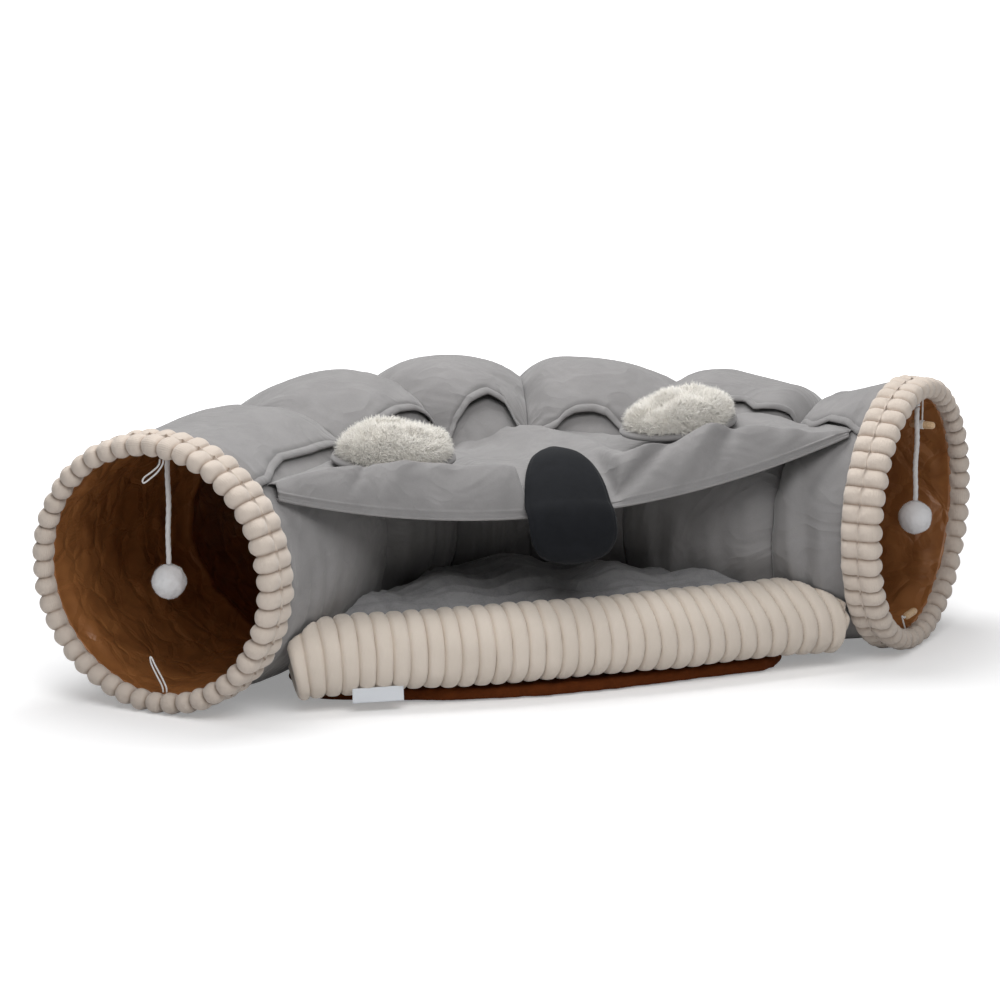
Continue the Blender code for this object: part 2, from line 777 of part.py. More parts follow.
def make_toggle(parts, name, centre, along, thread_route, pivot):
    turned = up.rotation_difference(along).to_matrix().to_4x4()
    shape = bmesh.new()
    bmesh.ops.create_cone(shape, cap_ends=True, segments=12, radius1=toggle_radius,
                          radius2=toggle_radius, depth=toggle_length)
    toggle = place_object(name, finish_mesh(shape, name), parts, ((0.65, 0.45, 0.27), 0.6, 0),
                          Matrix.Translation(centre) @ turned)
    move_origin(toggle, pivot)
    mesh = curve_mesh(f"{name}_thread", thread_route, thread_radius, 2)
    thread = place_object(f"{name}_thread", mesh, parts, (white, 0.7, 0))
    move_origin(thread, pivot)


def make_toggles(parts):
    """One toggle hangs along the tunnel on a straight thread, one lies across it on a bent one."""
    top, bottom = toggle_pivots()
    heading = centre_line(tunnel_length)[1]
    outward = Vector((math.cos(heading), math.sin(heading), 0))
    hung = top - up * top_toggle_drop
    end = hung + up * (toggle_radius + clearance)
    make_toggle(parts, "top_toggle", hung, outward, [top.lerp(end, k / 6) for k in range(7)], top)

    to_middle = -bed_side(heading)
    route = [bottom + up * (rise * bottom_toggle_rise) - to_middle * (bulge * bottom_thread_bulge)
             for rise, bulge in bottom_thread_shares]
    near_end = bottom + up * bottom_toggle_rise + to_middle * clearance
    route.append(near_end - to_middle * clearance)
    centre = near_end + to_middle * (toggle_length / 2)
    make_toggle(parts, "bottom_toggle", centre, to_middle, smooth_route(route, 2), bottom)


clear_scene()
parts = make_collection("cat_tunnel_bed", bpy.context.scene.collection)
cutters = make_collection("cutters", bpy.context.scene.collection)
make_tunnel(parts)
make_hoops(parts)
make_rings(parts)
make_base(parts)
make_label(parts)
make_cushion(parts)
make_bolster(parts, cutters)
make_flap(parts)
make_nose(parts)
make_ears(parts)
make_toys(parts)
make_loops(parts)
make_toggles(parts)
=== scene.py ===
"""Cat tunnel bed: a cloth tunnel on sprung hoops, bent round a cushioned mat under a roof flap."""

import math

import bmesh
import bpy
import numpy as np
from mathutils import Matrix, Vector, noise


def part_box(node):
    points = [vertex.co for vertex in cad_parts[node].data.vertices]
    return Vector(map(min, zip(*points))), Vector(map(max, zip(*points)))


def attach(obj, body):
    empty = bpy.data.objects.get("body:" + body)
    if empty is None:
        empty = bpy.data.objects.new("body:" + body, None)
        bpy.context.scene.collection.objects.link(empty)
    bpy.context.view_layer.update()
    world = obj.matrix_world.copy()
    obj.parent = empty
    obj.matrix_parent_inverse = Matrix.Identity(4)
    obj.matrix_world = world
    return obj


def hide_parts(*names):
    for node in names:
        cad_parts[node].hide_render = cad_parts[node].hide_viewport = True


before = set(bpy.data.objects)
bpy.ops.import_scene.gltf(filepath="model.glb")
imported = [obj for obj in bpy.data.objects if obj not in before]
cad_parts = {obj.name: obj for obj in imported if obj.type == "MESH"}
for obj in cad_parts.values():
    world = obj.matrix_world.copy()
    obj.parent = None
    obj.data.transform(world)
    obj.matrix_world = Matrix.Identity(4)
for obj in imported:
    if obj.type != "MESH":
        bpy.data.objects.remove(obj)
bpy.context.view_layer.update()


# Camera, lamps and floor: a long lens a little above the mat and to its left, one wide soft
# lamp over the front, a stronger one over the back, and a pale floor and backdrop that show white.
def add_object(name, data):
    thing = bpy.data.objects.new(name, data)
    bpy.context.scene.collection.objects.link(thing)
    return thing


view_turn = -0.3203
view_rise = 0.2368
view_distance = 4.9197
aim = Vector((-0.0281, -0.0977, 0.160))
back = Vector((math.sin(view_turn) * math.cos(view_rise),
               -math.cos(view_turn) * math.cos(view_rise), math.sin(view_rise)))
beside = Vector((math.cos(view_turn), math.sin(view_turn), 0))
camera_data = bpy.data.cameras.new("camera")
camera_data.lens = 193.52
camera_data.sensor_width = 36
camera = add_object("camera", camera_data)
camera.matrix_world = (Matrix.Translation(aim + back * view_distance)
                       @ Matrix((beside, back.cross(beside), back)).transposed().to_4x4())
bpy.context.scene.camera = camera
bpy.context.scene.view_settings.view_transform = "Standard"


def add_lamp(name, place, towards, width, height, power):
    lamp_data = bpy.data.lights.new(name, "AREA")
    lamp_data.shape = "RECTANGLE"
    lamp_data.size = width
    lamp_data.size_y = height
    lamp_data.energy = power
    lamp = add_object(name, lamp_data)
    lamp.location = place
    lamp.rotation_euler = (Vector(towards) - Vector(place)).to_track_quat("-Z", "Y").to_euler()


add_lamp("front_softbox", (-0.22, -1.20, 1.35), (0, 0, 0.1), 1.3, 0.8, 14)
add_lamp("top_softbox", (-0.05, 0.35, 1.6), (0, 0, 0.1), 1.5, 1.1, 25)


def add_node(tree, kind, inputs=None, **settings):
    """Adds a node. Each input is a plain value or the output that feeds it."""
    node = tree.nodes.new(kind)
    for key, value in settings.items():
        setattr(node, key, value)
    for key, value in (inputs or {}).items():
        if isinstance(value, bpy.types.NodeSocket):
            tree.links.new(value, node.inputs[key])
        else:
            node.inputs[key].default_value = value
    return node


def seen_directly(tree):
    """A value that is 1 for rays from the camera, in gloss and through glass."""
    path = add_node(tree, "ShaderNodeLightPath")
    total = path.outputs["Is Camera Ray"]
    for other in ("Is Glossy Ray", "Is Transmission Ray"):
        either = add_node(tree, "ShaderNodeMath", {0: total, 1: path.outputs[other]},
                          operation="MAXIMUM")
        total = either.outputs[0]
    return total


world = bpy.data.worlds.new("studio")
bpy.context.scene.world = world
world.use_nodes = True
tree = world.node_tree
soft_sky = tree.nodes["Background"]
soft_sky.inputs["Color"].default_value = (0.97, 0.98, 1.0, 1)
soft_sky.inputs["Strength"].default_value = 0.16
white = (1, 1, 1, 1)
white_sky = add_node(tree, "ShaderNodeBackground", {"Color": white, "Strength": 1.0})
either_sky = add_node(tree, "ShaderNodeMixShader", {0: seen_directly(tree), 1: soft_sky.outputs[0],
                                                    2: white_sky.outputs[0]})
tree.links.new(either_sky.outputs[0], tree.nodes["World Output"].inputs[0])

floor_mesh = bpy.data.meshes.new("floor")
floor_mesh.from_pydata([(-6, -6, -0.0006), (6, -6, -0.0006), (6, 8, -0.0006), (-6, 8, -0.0006)],
                       [], [(0, 1, 2, 3)])
floor = add_object("floor", floor_mesh)
floor_paint = bpy.data.materials.new("floor_paint")
floor_paint.use_nodes = True
tree = floor_paint.node_tree
tree.nodes.clear()
matt = add_node(tree, "ShaderNodeBsdfDiffuse", {"Color": (0.82, 0.82, 0.825, 1)})
where = add_node(tree, "ShaderNodeTexCoord")
away = add_node(tree, "ShaderNodeVectorMath", {0: where.outputs["Object"]}, operation="LENGTH")
brighter = add_node(tree, "ShaderNodeMapRange",
                    {"Value": away.outputs["Value"], "From Min": 0.55, "From Max": 1.5,
                     "To Min": 0.27, "To Max": 1.0}, interpolation_type="SMOOTHSTEP")
glow = add_node(tree, "ShaderNodeEmission", {"Color": white, "Strength": brighter.outputs[0]})
both = add_node(tree, "ShaderNodeAddShader", {0: matt.outputs[0], 1: glow.outputs[0]})
dim = add_node(tree, "ShaderNodeMixShader", {0: seen_directly(tree), 1: matt.outputs[0],
                                             2: both.outputs[0]})
add_node(tree, "ShaderNodeOutputMaterial", {0: dim.outputs[0]})
floor_mesh.materials.append(floor_paint)


# Hanging toys: a plied white cotton cord tied in a small knot under the lining, with a felted
# wool pompon on its end. The left one is 102 mm of cord and the right one 89 mm.
def new_look(name, values):
    """A material whose shader has the given values, with its node tree and its shader."""
    look = bpy.data.materials.new(name)
    look.use_nodes = True
    shader = look.node_tree.nodes["Principled BSDF"]
    for key, value in values.items():
        shader.inputs[key].default_value = value
    return look, look.node_tree, shader


def noise_over(tree, scale, **values):
    """Noise on the object's own coordinates."""
    where = add_node(tree, "ShaderNodeTexCoord")
    return add_node(tree, "ShaderNodeTexNoise",
                    {"Vector": where.outputs["Object"], "Scale": scale, **values})


def between(tree, amount, shade, colour):
    """A colour that goes from the shade at 0 to the full colour at 1."""
    return add_node(tree, "ShaderNodeMix", {"Factor": amount, "A": (*shade, 1), "B": (*colour, 1)},
                    data_type="RGBA").outputs["Result"]


def raise_by(tree, surface, height, strength, distance):
    """Lets a height stand out on a shader, or under another relief."""
    relief = add_node(tree, "ShaderNodeBump", {"Height": height, "Strength": strength,
                                               "Distance": distance})
    tree.links.new(relief.outputs[0], surface.inputs["Normal"])
    return relief


def thread_look(name, colour, shade, grain, depth):
    """Soft fibre: a mottled colour, a fuzzy sheen and a fine uneven surface."""
    look, tree, shader = new_look(name, {"Roughness": 0.9, "Specular IOR Level": 0.2,
                                         "Sheen Weight": 0.25, "Sheen Roughness": 0.5})
    fibres = noise_over(tree, grain, Detail=5, Roughness=0.7).outputs["Fac"]
    tree.links.new(between(tree, fibres, shade, colour), shader.inputs["Base Color"])
    raise_by(tree, shader, fibres, 0.6, depth)
    return look


def finish_piece(name, mesh, look, body, nodes=()):
    """Links a finished mesh, gives it its look, and lets it ride on its body."""
    piece = add_object(name, mesh)
    mesh.materials.clear()
    mesh.materials.append(look)
    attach(piece, body)
    if nodes:
        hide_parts(*nodes)
    return piece


def tube_mesh(name, path, radius_at, sides):
    """A closed tube along a path, with a radius for each step and each angle round it."""
    path = [Vector(point) for point in path]
    shape = bmesh.new()
    rows = []
    side = None
    for k, point in enumerate(path):
        along = (path[min(k + 1, len(path) - 1)] - path[max(k - 1, 0)]).normalized()
        if side is None:
            side = along.orthogonal().normalized()
        side = (side - along * side.dot(along)).normalized()
        other = along.cross(side)
        row = []
        for j in range(sides):
            angle = 2 * math.pi * j / sides
            out = side * math.cos(angle) + other * math.sin(angle)
            row.append(shape.verts.new(point + out * radius_at(k, angle)))
        rows.append(row)
    for first, second in zip(rows, rows[1:]):
        for j in range(sides):
            n = (j + 1) % sides
            shape.faces.new((first[j], first[n], second[n], second[j]))
    shape.faces.new(rows[0])
    shape.faces.new(rows[-1])
    bmesh.ops.recalc_face_normals(shape, faces=shape.faces)
    mesh = bpy.data.meshes.new(name)
    shape.to_mesh(mesh)
    shape.free()
    mesh.shade_smooth()
    return mesh


def middle_of(node):
    low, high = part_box(node)
    return (Vector(low) + Vector(high)) / 2


cotton = thread_look("white_cotton", (0.80, 0.79, 0.78), (0.60, 0.59, 0.585), 900, 0.0006)
wool = thread_look("felted_wool", (0.88, 0.875, 0.88), (0.78, 0.78, 0.79), 420, 0.0006)


class Nodes:
    """A geometry tree with named sizes, which turns one mesh into a finished one."""

    def __init__(self, name, sizes):
        self.tree = bpy.data.node_groups.new(name, "GeometryNodeTree")
        face = self.tree.interface
        face.new_socket("Geometry", in_out="INPUT", socket_type="NodeSocketGeometry")
        kinds = {int: "NodeSocketInt", float: "NodeSocketFloat"}
        self.sockets = {}
        for size, value in sizes.items():
            socket = face.new_socket(size, in_out="INPUT", socket_type=kinds[type(value)])
            socket.default_value = value
            self.sockets[size] = (socket.identifier, value)
        face.new_socket("Geometry", in_out="OUTPUT", socket_type="NodeSocketGeometry")
        self.inputs = self.tree.nodes.new("NodeGroupInput").outputs
        self.result = self.tree.nodes.new("NodeGroupOutput").inputs[0]

    def add(self, kind, inputs=None, **settings):
        return add_node(self.tree, kind, inputs, **settings)

    def sum_of(self, operation, *values):
        """The result of one sum on plain values or outputs."""
        return self.add("ShaderNodeMath", dict(enumerate(values)), operation=operation).outputs[0]

    def grow(self, name, mesh, last, look, **sizes):
        """Ends the tree in the given look, runs it on a mesh and gives back the plain result."""
        painted = self.add("GeometryNodeSetMaterial", {"Geometry": last, "Material": look})
        self.tree.links.new(painted.outputs[0], self.result)
        maker = add_object(name, mesh)
        growing = maker.modifiers.new("growing", "NODES")
        growing.node_group = self.tree
        for size, (identifier, value) in self.sockets.items():
            growing[identifier] = sizes.get(size, value)
        graph = bpy.context.evaluated_depsgraph_get()
        made = bpy.data.meshes.new_from_object(maker.evaluated_get(graph))
        made.name = name
        bpy.data.objects.remove(maker)
        return made


def fuzz_over(name, mesh, look, sizes):
    """Grows short bent fibres out of a surface, and keeps the surface under them."""
    fuzz = Nodes(name, {"Fibres per square metre": 1.0, "Fibre length": 0.001,
                        "Fibre thickness": 0.0003, "Lean": 0.5, "Seed": 3})
    inputs = fuzz.inputs
    spread = fuzz.add("GeometryNodeDistributePointsOnFaces",
                      {"Mesh": inputs["Geometry"], "Seed": inputs["Seed"],
                       "Density": inputs["Fibres per square metre"]})
    strand = fuzz.add("GeometryNodeMeshCone", {"Vertices": 3, "Side Segments": 2,
                                               "Radius Top": 0.15, "Radius Bottom": 1.0,
                                               "Depth": 1.0})
    place = fuzz.add("GeometryNodeInputPosition")
    rise = fuzz.add("ShaderNodeSeparateXYZ", {0: place.outputs[0]}).outputs["Z"]
    bow = fuzz.add("ShaderNodeCombineXYZ", {"X": fuzz.sum_of("MULTIPLY", rise, rise)})
    bent = fuzz.add("GeometryNodeSetPosition", {"Geometry": strand.outputs["Mesh"],
                                                "Offset": bow.outputs[0]})
    size = fuzz.add("ShaderNodeCombineXYZ", {"X": inputs["Fibre thickness"],
                                             "Y": inputs["Fibre thickness"],
                                             "Z": inputs["Fibre length"]})
    uneven = fuzz.add("FunctionNodeRandomValue", {2: 0.6, 3: 1.25, "Seed": inputs["Seed"]})
    scaled = fuzz.add("ShaderNodeVectorMath", {0: size.outputs[0], "Scale": uneven.outputs[1]},
                      operation="SCALE")
    tilt = fuzz.add("FunctionNodeRandomValue", {0: (-1, -1, -3.1), 1: (1, 1, 3.1)},
                    data_type="FLOAT_VECTOR")
    lean = fuzz.add("ShaderNodeCombineXYZ", {"X": inputs["Lean"], "Y": inputs["Lean"], "Z": 1.0})
    leaning = fuzz.add("ShaderNodeVectorMath", {0: tilt.outputs[0], 1: lean.outputs[0]},
                       operation="MULTIPLY")
    turned = fuzz.add("FunctionNodeRotateRotation",
                      {"Rotation": spread.outputs["Rotation"], "Rotate By": leaning.outputs[0]},
                      rotation_space="LOCAL")
    planted = fuzz.add("GeometryNodeInstanceOnPoints",
                       {"Points": spread.outputs["Points"], "Instance": bent.outputs[0],
                        "Rotation": turned.outputs[0], "Scale": scaled.outputs[0]})
    real = fuzz.add("GeometryNodeRealizeInstances", {"Geometry": planted.outputs[0]})
    joined = fuzz.add("GeometryNodeJoinGeometry")
    fuzz.tree.links.new(inputs["Geometry"], joined.inputs[0])
    fuzz.tree.links.new(real.outputs[0], joined.inputs[0])
    smooth = fuzz.add("GeometryNodeSetShadeSmooth", {"Geometry": joined.outputs[0]})
    return fuzz.grow(name, mesh, smooth.outputs[0], look, **sizes)


def lumpy_ball(name, centre, radius, lump, scale):
    """A ball of many faces, pushed in and out a little."""
    shape = bmesh.new()
    bmesh.ops.create_icosphere(shape, subdivisions=5, radius=1)
    for vert in shape.verts:
        out = vert.co.normalized()
        reach = radius + lump * noise.fractal(out * scale + centre * 40, 1.0, 2.0, 3)
        vert.co = centre + out * reach
    mesh = bpy.data.meshes.new(name)
    shape.to_mesh(mesh)
    shape.free()
    mesh.shade_smooth()
    return mesh


toy_cord_diameter = 0.005
for side in ("left", "right"):
    knot = middle_of(f"{side}_toy_knot")
    low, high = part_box(f"{side}_toy_cord")
    cord_length = high[2] - low[2]
    steps = 96
    path = []
    for k in range(steps + 1):
        share = k / steps
        sway = 0.0005 * math.sin(math.pi * share) * math.sin(9 * share + len(side))
        path.append(Vector((knot.x + sway, knot.y - sway, high[2] - cord_length * share)))
    mesh = tube_mesh(f"{side}_toy_cord", path,
                     lambda k, a: (0.5 * toy_cord_diameter
                                   * (0.84 + 0.14 * abs(math.cos(1.5 * a - 0.42 * k))
                                      + 0.02 * math.sin(0.7 * k))), 12)
    cord = finish_piece(f"{side}_toy_cord_plied", mesh, cotton, f"{side}_toy",
                        (f"{side}_toy_cord",))

    ball = middle_of(f"{side}_toy_pompon")
    mesh = lumpy_ball(f"{side}_pompon_core", ball, 0.0152, 0.0007, 2.2)
    mesh = fuzz_over(f"{side}_pompon_fuzz", mesh, wool,
                     {"Fibres per square metre": 2200000.0, "Fibre length": 0.0011,
                      "Fibre thickness": 0.00008, "Lean": 1.2, "Seed": 5})
    pompon = finish_piece(f"{side}_pompon", mesh, wool, f"{side}_toy", (f"{side}_toy_pompon",))

    bend = []
    for k in range(61):
        a = 2 * math.pi * k / 60
        reach = 0.00085
        bend.append(knot + Vector((reach * (math.sin(a) + 2 * math.sin(2 * a)),
                                   reach * (math.cos(a) - 2 * math.cos(2 * a)),
                                   -reach * 1.6 * math.sin(3 * a))))
    mesh = tube_mesh(f"{side}_toy_knot", bend, lambda k, a: 0.0011, 8)
    finish_piece(f"{side}_knot_tied", mesh, cotton, f"{side}_toy_knot_body",
                 (f"{side}_toy_knot",))


# The tunnel's way over the floor: a straight leg from each mouth and a round bend between them.
# A place is a distance along its middle line from the left mouth, and a turn round the section,
# which is zero at the top and grows towards the bed.
leg_length = 0.268
bend_radius = 0.250
bend_half_angle = math.radians(43.0)
tunnel_length = 2 * leg_length + 2 * bend_radius * bend_half_angle
half_span = leg_length * math.cos(bend_half_angle) + bend_radius * math.sin(bend_half_angle)
mouth_y = -0.13975
mouth_height = 0.1265
up = Vector((0, 0, 1))


def centre_line(distance):
    """Point of the middle line on the floor, and its heading."""
    to_end = tunnel_length - distance
    if distance < leg_length:
        heading = bend_half_angle
        return Vector((-half_span + distance * math.cos(heading),
                       mouth_y + distance * math.sin(heading), 0)), heading
    if to_end < leg_length:
        heading = -bend_half_angle
        return Vector((half_span - to_end * math.cos(heading),
                       mouth_y - to_end * math.sin(heading), 0)), heading
    heading = bend_half_angle - (distance - leg_length) / bend_radius
    bend_y = mouth_y + leg_length * math.sin(bend_half_angle)
    bend_y -= bend_radius * math.cos(bend_half_angle)
    return Vector((-bend_radius * math.sin(heading), bend_y + bend_radius * math.cos(heading),
                   0)), heading


def bed_side(heading):
    return Vector((math.sin(heading), -math.cos(heading), 0))


def tunnel_point(distance, turn, radius, height):
    place, heading = centre_line(distance)
    return (place + up * (height + radius * math.cos(turn))
            + bed_side(heading) * (radius * math.sin(turn)))


def mouth_distance(side, depth):
    return depth if side == "left" else tunnel_length - depth


def mouth_point(side, depth, across, height):
    place, heading = centre_line(mouth_distance(side, depth))
    return place + bed_side(heading) * across + up * height


# Elastic loops in the left mouth: thin round white elastic, sewn into the seam of the lip, one
# hanging at the top and one standing at the bottom. They take the toggles of the other end.
elastic = thread_look("white_elastic", (0.82, 0.81, 0.80), (0.68, 0.67, 0.66), 1600, 0.0002)
elastic_diameter = 0.0016


def smooth_route(points, steps):
    """Reads a smooth curve through a short list of points."""
    padded = [2 * points[0] - points[1], *points, 2 * points[-1] - points[-2]]
    route = []
    for k in range(1, len(padded) - 2):
        before, start, end, after = padded[k - 1:k + 3]
        for step in range(steps):
            t = step / steps
            route.append(0.5 * (2 * start + (end - before) * t
                                + (2 * before - 5 * start + 4 * end - after) * t ** 2
                                + (3 * start - before - 3 * end + after) * t ** 3))
    route.append(points[-1])
    return route


def lip_edge(across, top):
    """Height of the lip's inner face beside the middle of the mouth."""
    rise = math.sqrt(0.108 ** 2 - across ** 2)
    return mouth_height + (rise if top else -rise)


top_shares = ((0.149, 0), (0.106, -0.213), (-0.128, -0.532), (-0.447, -0.809), (-0.702, -1),
              (-0.787, -0.957), (-0.702, -0.787), (-0.362, -0.532), (-0.064, -0.255), (0, 0))
bottom_shares = ((0.377, 0), (0.361, 0.164), (0.213, 0.443), (0, 0.77), (-0.131, 1),
                 (-0.18, 0.984), (-0.131, 0.787), (0.066, 0.443), (0.213, 0.197), (0.262, 0))
for name, shares, size, offset, at_top in (("left_top_loop", top_shares, 0.0235, 0.008, True),
                                           ("left_bottom_loop", bottom_shares, 0.0305, 0, False)):
    points = []
    for k, (across, rise) in enumerate(shares):
        foot = offset + size * (shares[0][0] if k == 0 else shares[-1][0])
        edge = lip_edge(foot, at_top) + (-0.0006 if at_top else 0.0006)
        points.append(mouth_point("left", 0, offset + across * size, edge + rise * size))
    route = smooth_route(points, 6)
    mesh = tube_mesh(name, route,
                     lambda k, a: 0.5 * elastic_diameter * (1 + 0.05 * math.sin(3 * k)), 10)
    loop = finish_piece(name + "_elastic", mesh, elastic, "tunnel_bed", (name,))


# Toggles in the right mouth: two turned beech pins, each tied at its middle on a thin thread
# that is sewn into the seam of the lip.
def two_tones(tree, amount, low, dark, high, light):
    """A colour that goes from dark to light between a low and a high amount."""
    tone = add_node(tree, "ShaderNodeValToRGB", {0: amount})
    for stop, place, colour in zip(tone.color_ramp.elements, (low, high), (dark, light)):
        stop.position = place
        stop.color = (*colour, 1)
    return tone.outputs[0]


beech, tree, shader = new_look("beech", {"Roughness": 0.55})
where = add_node(tree, "ShaderNodeTexCoord")
grain_run = add_node(tree, "ShaderNodeMapping",
                     {"Vector": where.outputs["Object"], "Rotation": (0, 0, bend_half_angle),
                      "Scale": (90, 1400, 1400)})
grain = add_node(tree, "ShaderNodeTexNoise", {"Vector": grain_run.outputs[0], "Scale": 1,
                                              "Detail": 6, "Roughness": 0.65}).outputs["Fac"]
tone = two_tones(tree, grain, 0.3, (0.42, 0.25, 0.12), 0.7, (0.74, 0.54, 0.34))
tree.links.new(tone, shader.inputs["Base Color"])
raise_by(tree, shader, grain, 0.3, 0.0002)

toggle_profile = ((0, 0.35), (0.03, 0.72), (0.08, 0.92), (0.16, 1.0), (0.40, 1.04), (0.46, 0.96),
                  (0.5, 0.86), (0.54, 0.96), (0.60, 1.04), (0.84, 1.0), (0.92, 0.92), (0.97, 0.72),
                  (1, 0.35))
right_heading = centre_line(tunnel_length)[1]
right_outward = Vector((math.cos(right_heading), math.sin(right_heading), 0))
for name, along in (("top_toggle", right_outward), ("bottom_toggle", -bed_side(right_heading))):
    centre = middle_of(name)
    start = centre - along * 0.0125
    profile = smooth_route([Vector((p, r, 0)) for p, r in toggle_profile], 4)
    path = [start + along * (0.025 * p.x) for p in profile]
    mesh = tube_mesh(name, path, lambda k, a: 0.0035 * profile[k].y * (1 + 0.02 * math.cos(2 * a)), 24)
    finish_piece(name + "_turned", mesh, beech, f"{name}_body", (name,))


def spun_thread(k, a):
    return 0.0008 * (1 + 0.12 * math.cos(2 * a - 0.9 * k))


top_pivot = Vector((0.37469, -0.13098, 0.23323))
hung = middle_of("top_toggle")
route = [top_pivot.lerp(hung + up * 0.0034, k / 20) for k in range(21)]
mesh = tube_mesh("top_thread", route, spun_thread, 8)
finish_piece("top_toggle_thread_spun", mesh, elastic, "top_toggle_body", ("top_toggle_thread",))
for k in range(3):
    ring = []
    for j in range(25):
        a = 2 * math.pi * j / 24
        ring.append(hung + right_outward * (0.0012 * (k - 1)) + up * (0.0037 * math.cos(a))
                    + bed_side(right_heading) * (0.0037 * math.sin(a)))
    mesh = tube_mesh(f"top_wrap_{k}", ring, lambda k, a: 0.00055, 6)
    finish_piece(f"top_toggle_wrap_{k + 1}", mesh, elastic, "top_toggle_body")

bottom_pivot = Vector((0.35013, -0.1573, 0.0218))
to_middle = -bed_side(right_heading)
thread_shares = ((0, 0), (0.3, 0.3), (1.1, 1), (1.2, 0.9), (1, 0.45), (1, 0))
points = [bottom_pivot + up * (0.0112 * rise) - to_middle * (0.0084 * bulge)
          for rise, bulge in thread_shares]
route = smooth_route(points, 8)
mesh = tube_mesh("bottom_thread", route, spun_thread, 8)
finish_piece("bottom_toggle_thread_spun", mesh, elastic, "bottom_toggle_body",
             ("bottom_toggle_thread",))


# End rings: cream ribbed plush, padded and wrapped round the end hoop. Each rib is a plump roll
# over the lip and along the band behind it, and a row of stitches holds it down between the two.
def ribbed_plush_look(name, colour, shade, lines):
    """Cream plush: patches of lighter and darker tone, painted shade in the grooves, and fine lines
    across each rib from its UV.
    """
    look, tree, shader = new_look(name, {"Roughness": 0.92, "Specular IOR Level": 0.15,
                                         "Sheen Weight": 0.35, "Sheen Roughness": 0.45})
    patches = noise_over(tree, 38, Detail=4)
    tint = between(tree, patches.outputs["Fac"], shade, colour)
    # Painted shade: where the mesh marks a groove between ribs, the colour is mixed towards a darker
    # tone.
    groove_shade_mask = add_node(tree, "ShaderNodeAttribute", attribute_name="groove_shade")
    deep = add_node(tree, "ShaderNodeMix",
                    {"Factor": groove_shade_mask.outputs["Fac"], "A": tint,
                     "B": (0.62 * shade[0], 0.55 * shade[1], 0.50 * shade[2], 1)},
                    data_type="RGBA")
    tree.links.new(deep.outputs["Result"], shader.inputs["Base Color"])
    fibres = noise_over(tree, 700, Detail=3)
    where = add_node(tree, "ShaderNodeTexCoord")
    wales = add_node(tree, "ShaderNodeTexWave",
                     {"Vector": where.outputs["UV"], "Scale": lines, "Distortion": 1.2, "Detail": 1},
                     bands_direction="Y")
    height = add_node(tree, "ShaderNodeMath", {0: wales.outputs["Fac"], 1: 0.45,
                                               2: fibres.outputs["Fac"]}, operation="MULTIPLY_ADD")
    raise_by(tree, shader, height.outputs[0], 0.5, 0.0007)
    return look


def grid_mesh(name, points, uv_scale, round_rows=False, round_columns=False, groove_shade=None):
    """A surface through rows of points, with a UV map in metres."""
    rows, columns = points.shape[:2]
    mesh = bpy.data.meshes.new(name)
    faces = []
    for i in range(rows if round_rows else rows - 1):
        m = (i + 1) % rows
        for j in range(columns if round_columns else columns - 1):
            n = (j + 1) % columns
            faces.append((i * columns + j, i * columns + n, m * columns + n, m * columns + j))
    mesh.from_pydata(points.reshape(-1, 3).tolist(), [], faces)
    layer = mesh.uv_layers.new(name="cloth")
    corner_verts = np.zeros(len(mesh.loops), dtype=np.int32)
    mesh.loops.foreach_get("vertex_index", corner_verts)
    uv = np.stack([corner_verts % columns * uv_scale[0], corner_verts // columns * uv_scale[1]], 1)
    layer.data.foreach_set("uv", uv.astype(np.float32).ravel())
    if groove_shade is not None:
        marks = mesh.attributes.new("groove_shade", "FLOAT", "POINT")
        marks.data.foreach_set("value", groove_shade.astype(np.float32).ravel())
    mesh.shade_smooth()
    return mesh


cream_plush = ribbed_plush_look("cream_ribbed_plush", (0.675, 0.590, 0.515),
                                (0.59, 0.510, 0.440), 190)
ring_ribs = 46
rib_depth = 0.0046
lip_crest = ((0.0082, 0.1118), (0.0050, 0.1092), (0.0000, 0.1080), (-0.0058, 0.1095),
             (-0.0094, 0.1140), (-0.0100, 0.1185), (-0.0078, 0.1240), (-0.0020, 0.1272),
             (0.0045, 0.1278), (0.0088, 0.1267), (0.0104, 0.1255), (0.0120, 0.1267),
             (0.0152, 0.1279), (0.0198, 0.1283), (0.0240, 0.1274), (0.0268, 0.1252),
             (0.0277, 0.1226))
crest = smooth_route([Vector((r, 0, -d)) for d, r in lip_crest], 3)
inside = [Vector((0.1210, 0, -0.0268)), Vector((0.1206, 0, -0.0215)), Vector((0.1206, 0, -0.0150)),
          Vector((0.1185, 0, -0.0098)), Vector((0.1150, 0, -0.0090))]
outline = crest + inside
centre_of_lip = Vector((0.1180, 0, 0))
columns = 13
points = np.zeros((len(outline), columns, 3))
groove_shade = np.zeros((len(outline), columns))
stitch_place = Vector((0.1255, 0, -0.0104))
for i, point in enumerate(outline):
    before = outline[i - 1]
    after = outline[(i + 1) % len(outline)]
    along = (after - before).normalized()
    inward = Vector((0, 1, 0)).cross(along)
    if i < len(crest) and inward.dot(centre_of_lip - point) < 0 and point.z > -0.012:
        inward = -inward
    if i < len(crest) and point.z <= -0.012:
        inward = Vector((-1, 0, 0))
    ends = min(1, i / 4, max(0, (len(crest) - 1 - i) / 3)) if i < len(crest) else 0
    tight = 1 - 0.55 * math.exp(-((point - stitch_place).length / 0.0022) ** 2)
    for j in range(columns):
        u = 2 * j / (columns - 1) - 1
        drop = 0.55 * u * u + 0.45 * (1 - math.sqrt(max(0, 1 - 0.97 * u * u)))
        spot = point + inward * (rib_depth * ends * tight * drop)
        turned = Matrix.Rotation(u * math.pi / ring_ribs, 3, "Z") @ spot
        points[i, j] = turned
        # How far into the groove between ribs each point lies, marked for painted shade in the plush's
        # colour.
        groove_shade[i, j] = ends * max(0, (abs(u) - 0.72) / 0.28) ** 1.5
rib_mesh = grid_mesh("rib", points, (0.0013, 0.0016), round_rows=True, groove_shade=groove_shade)

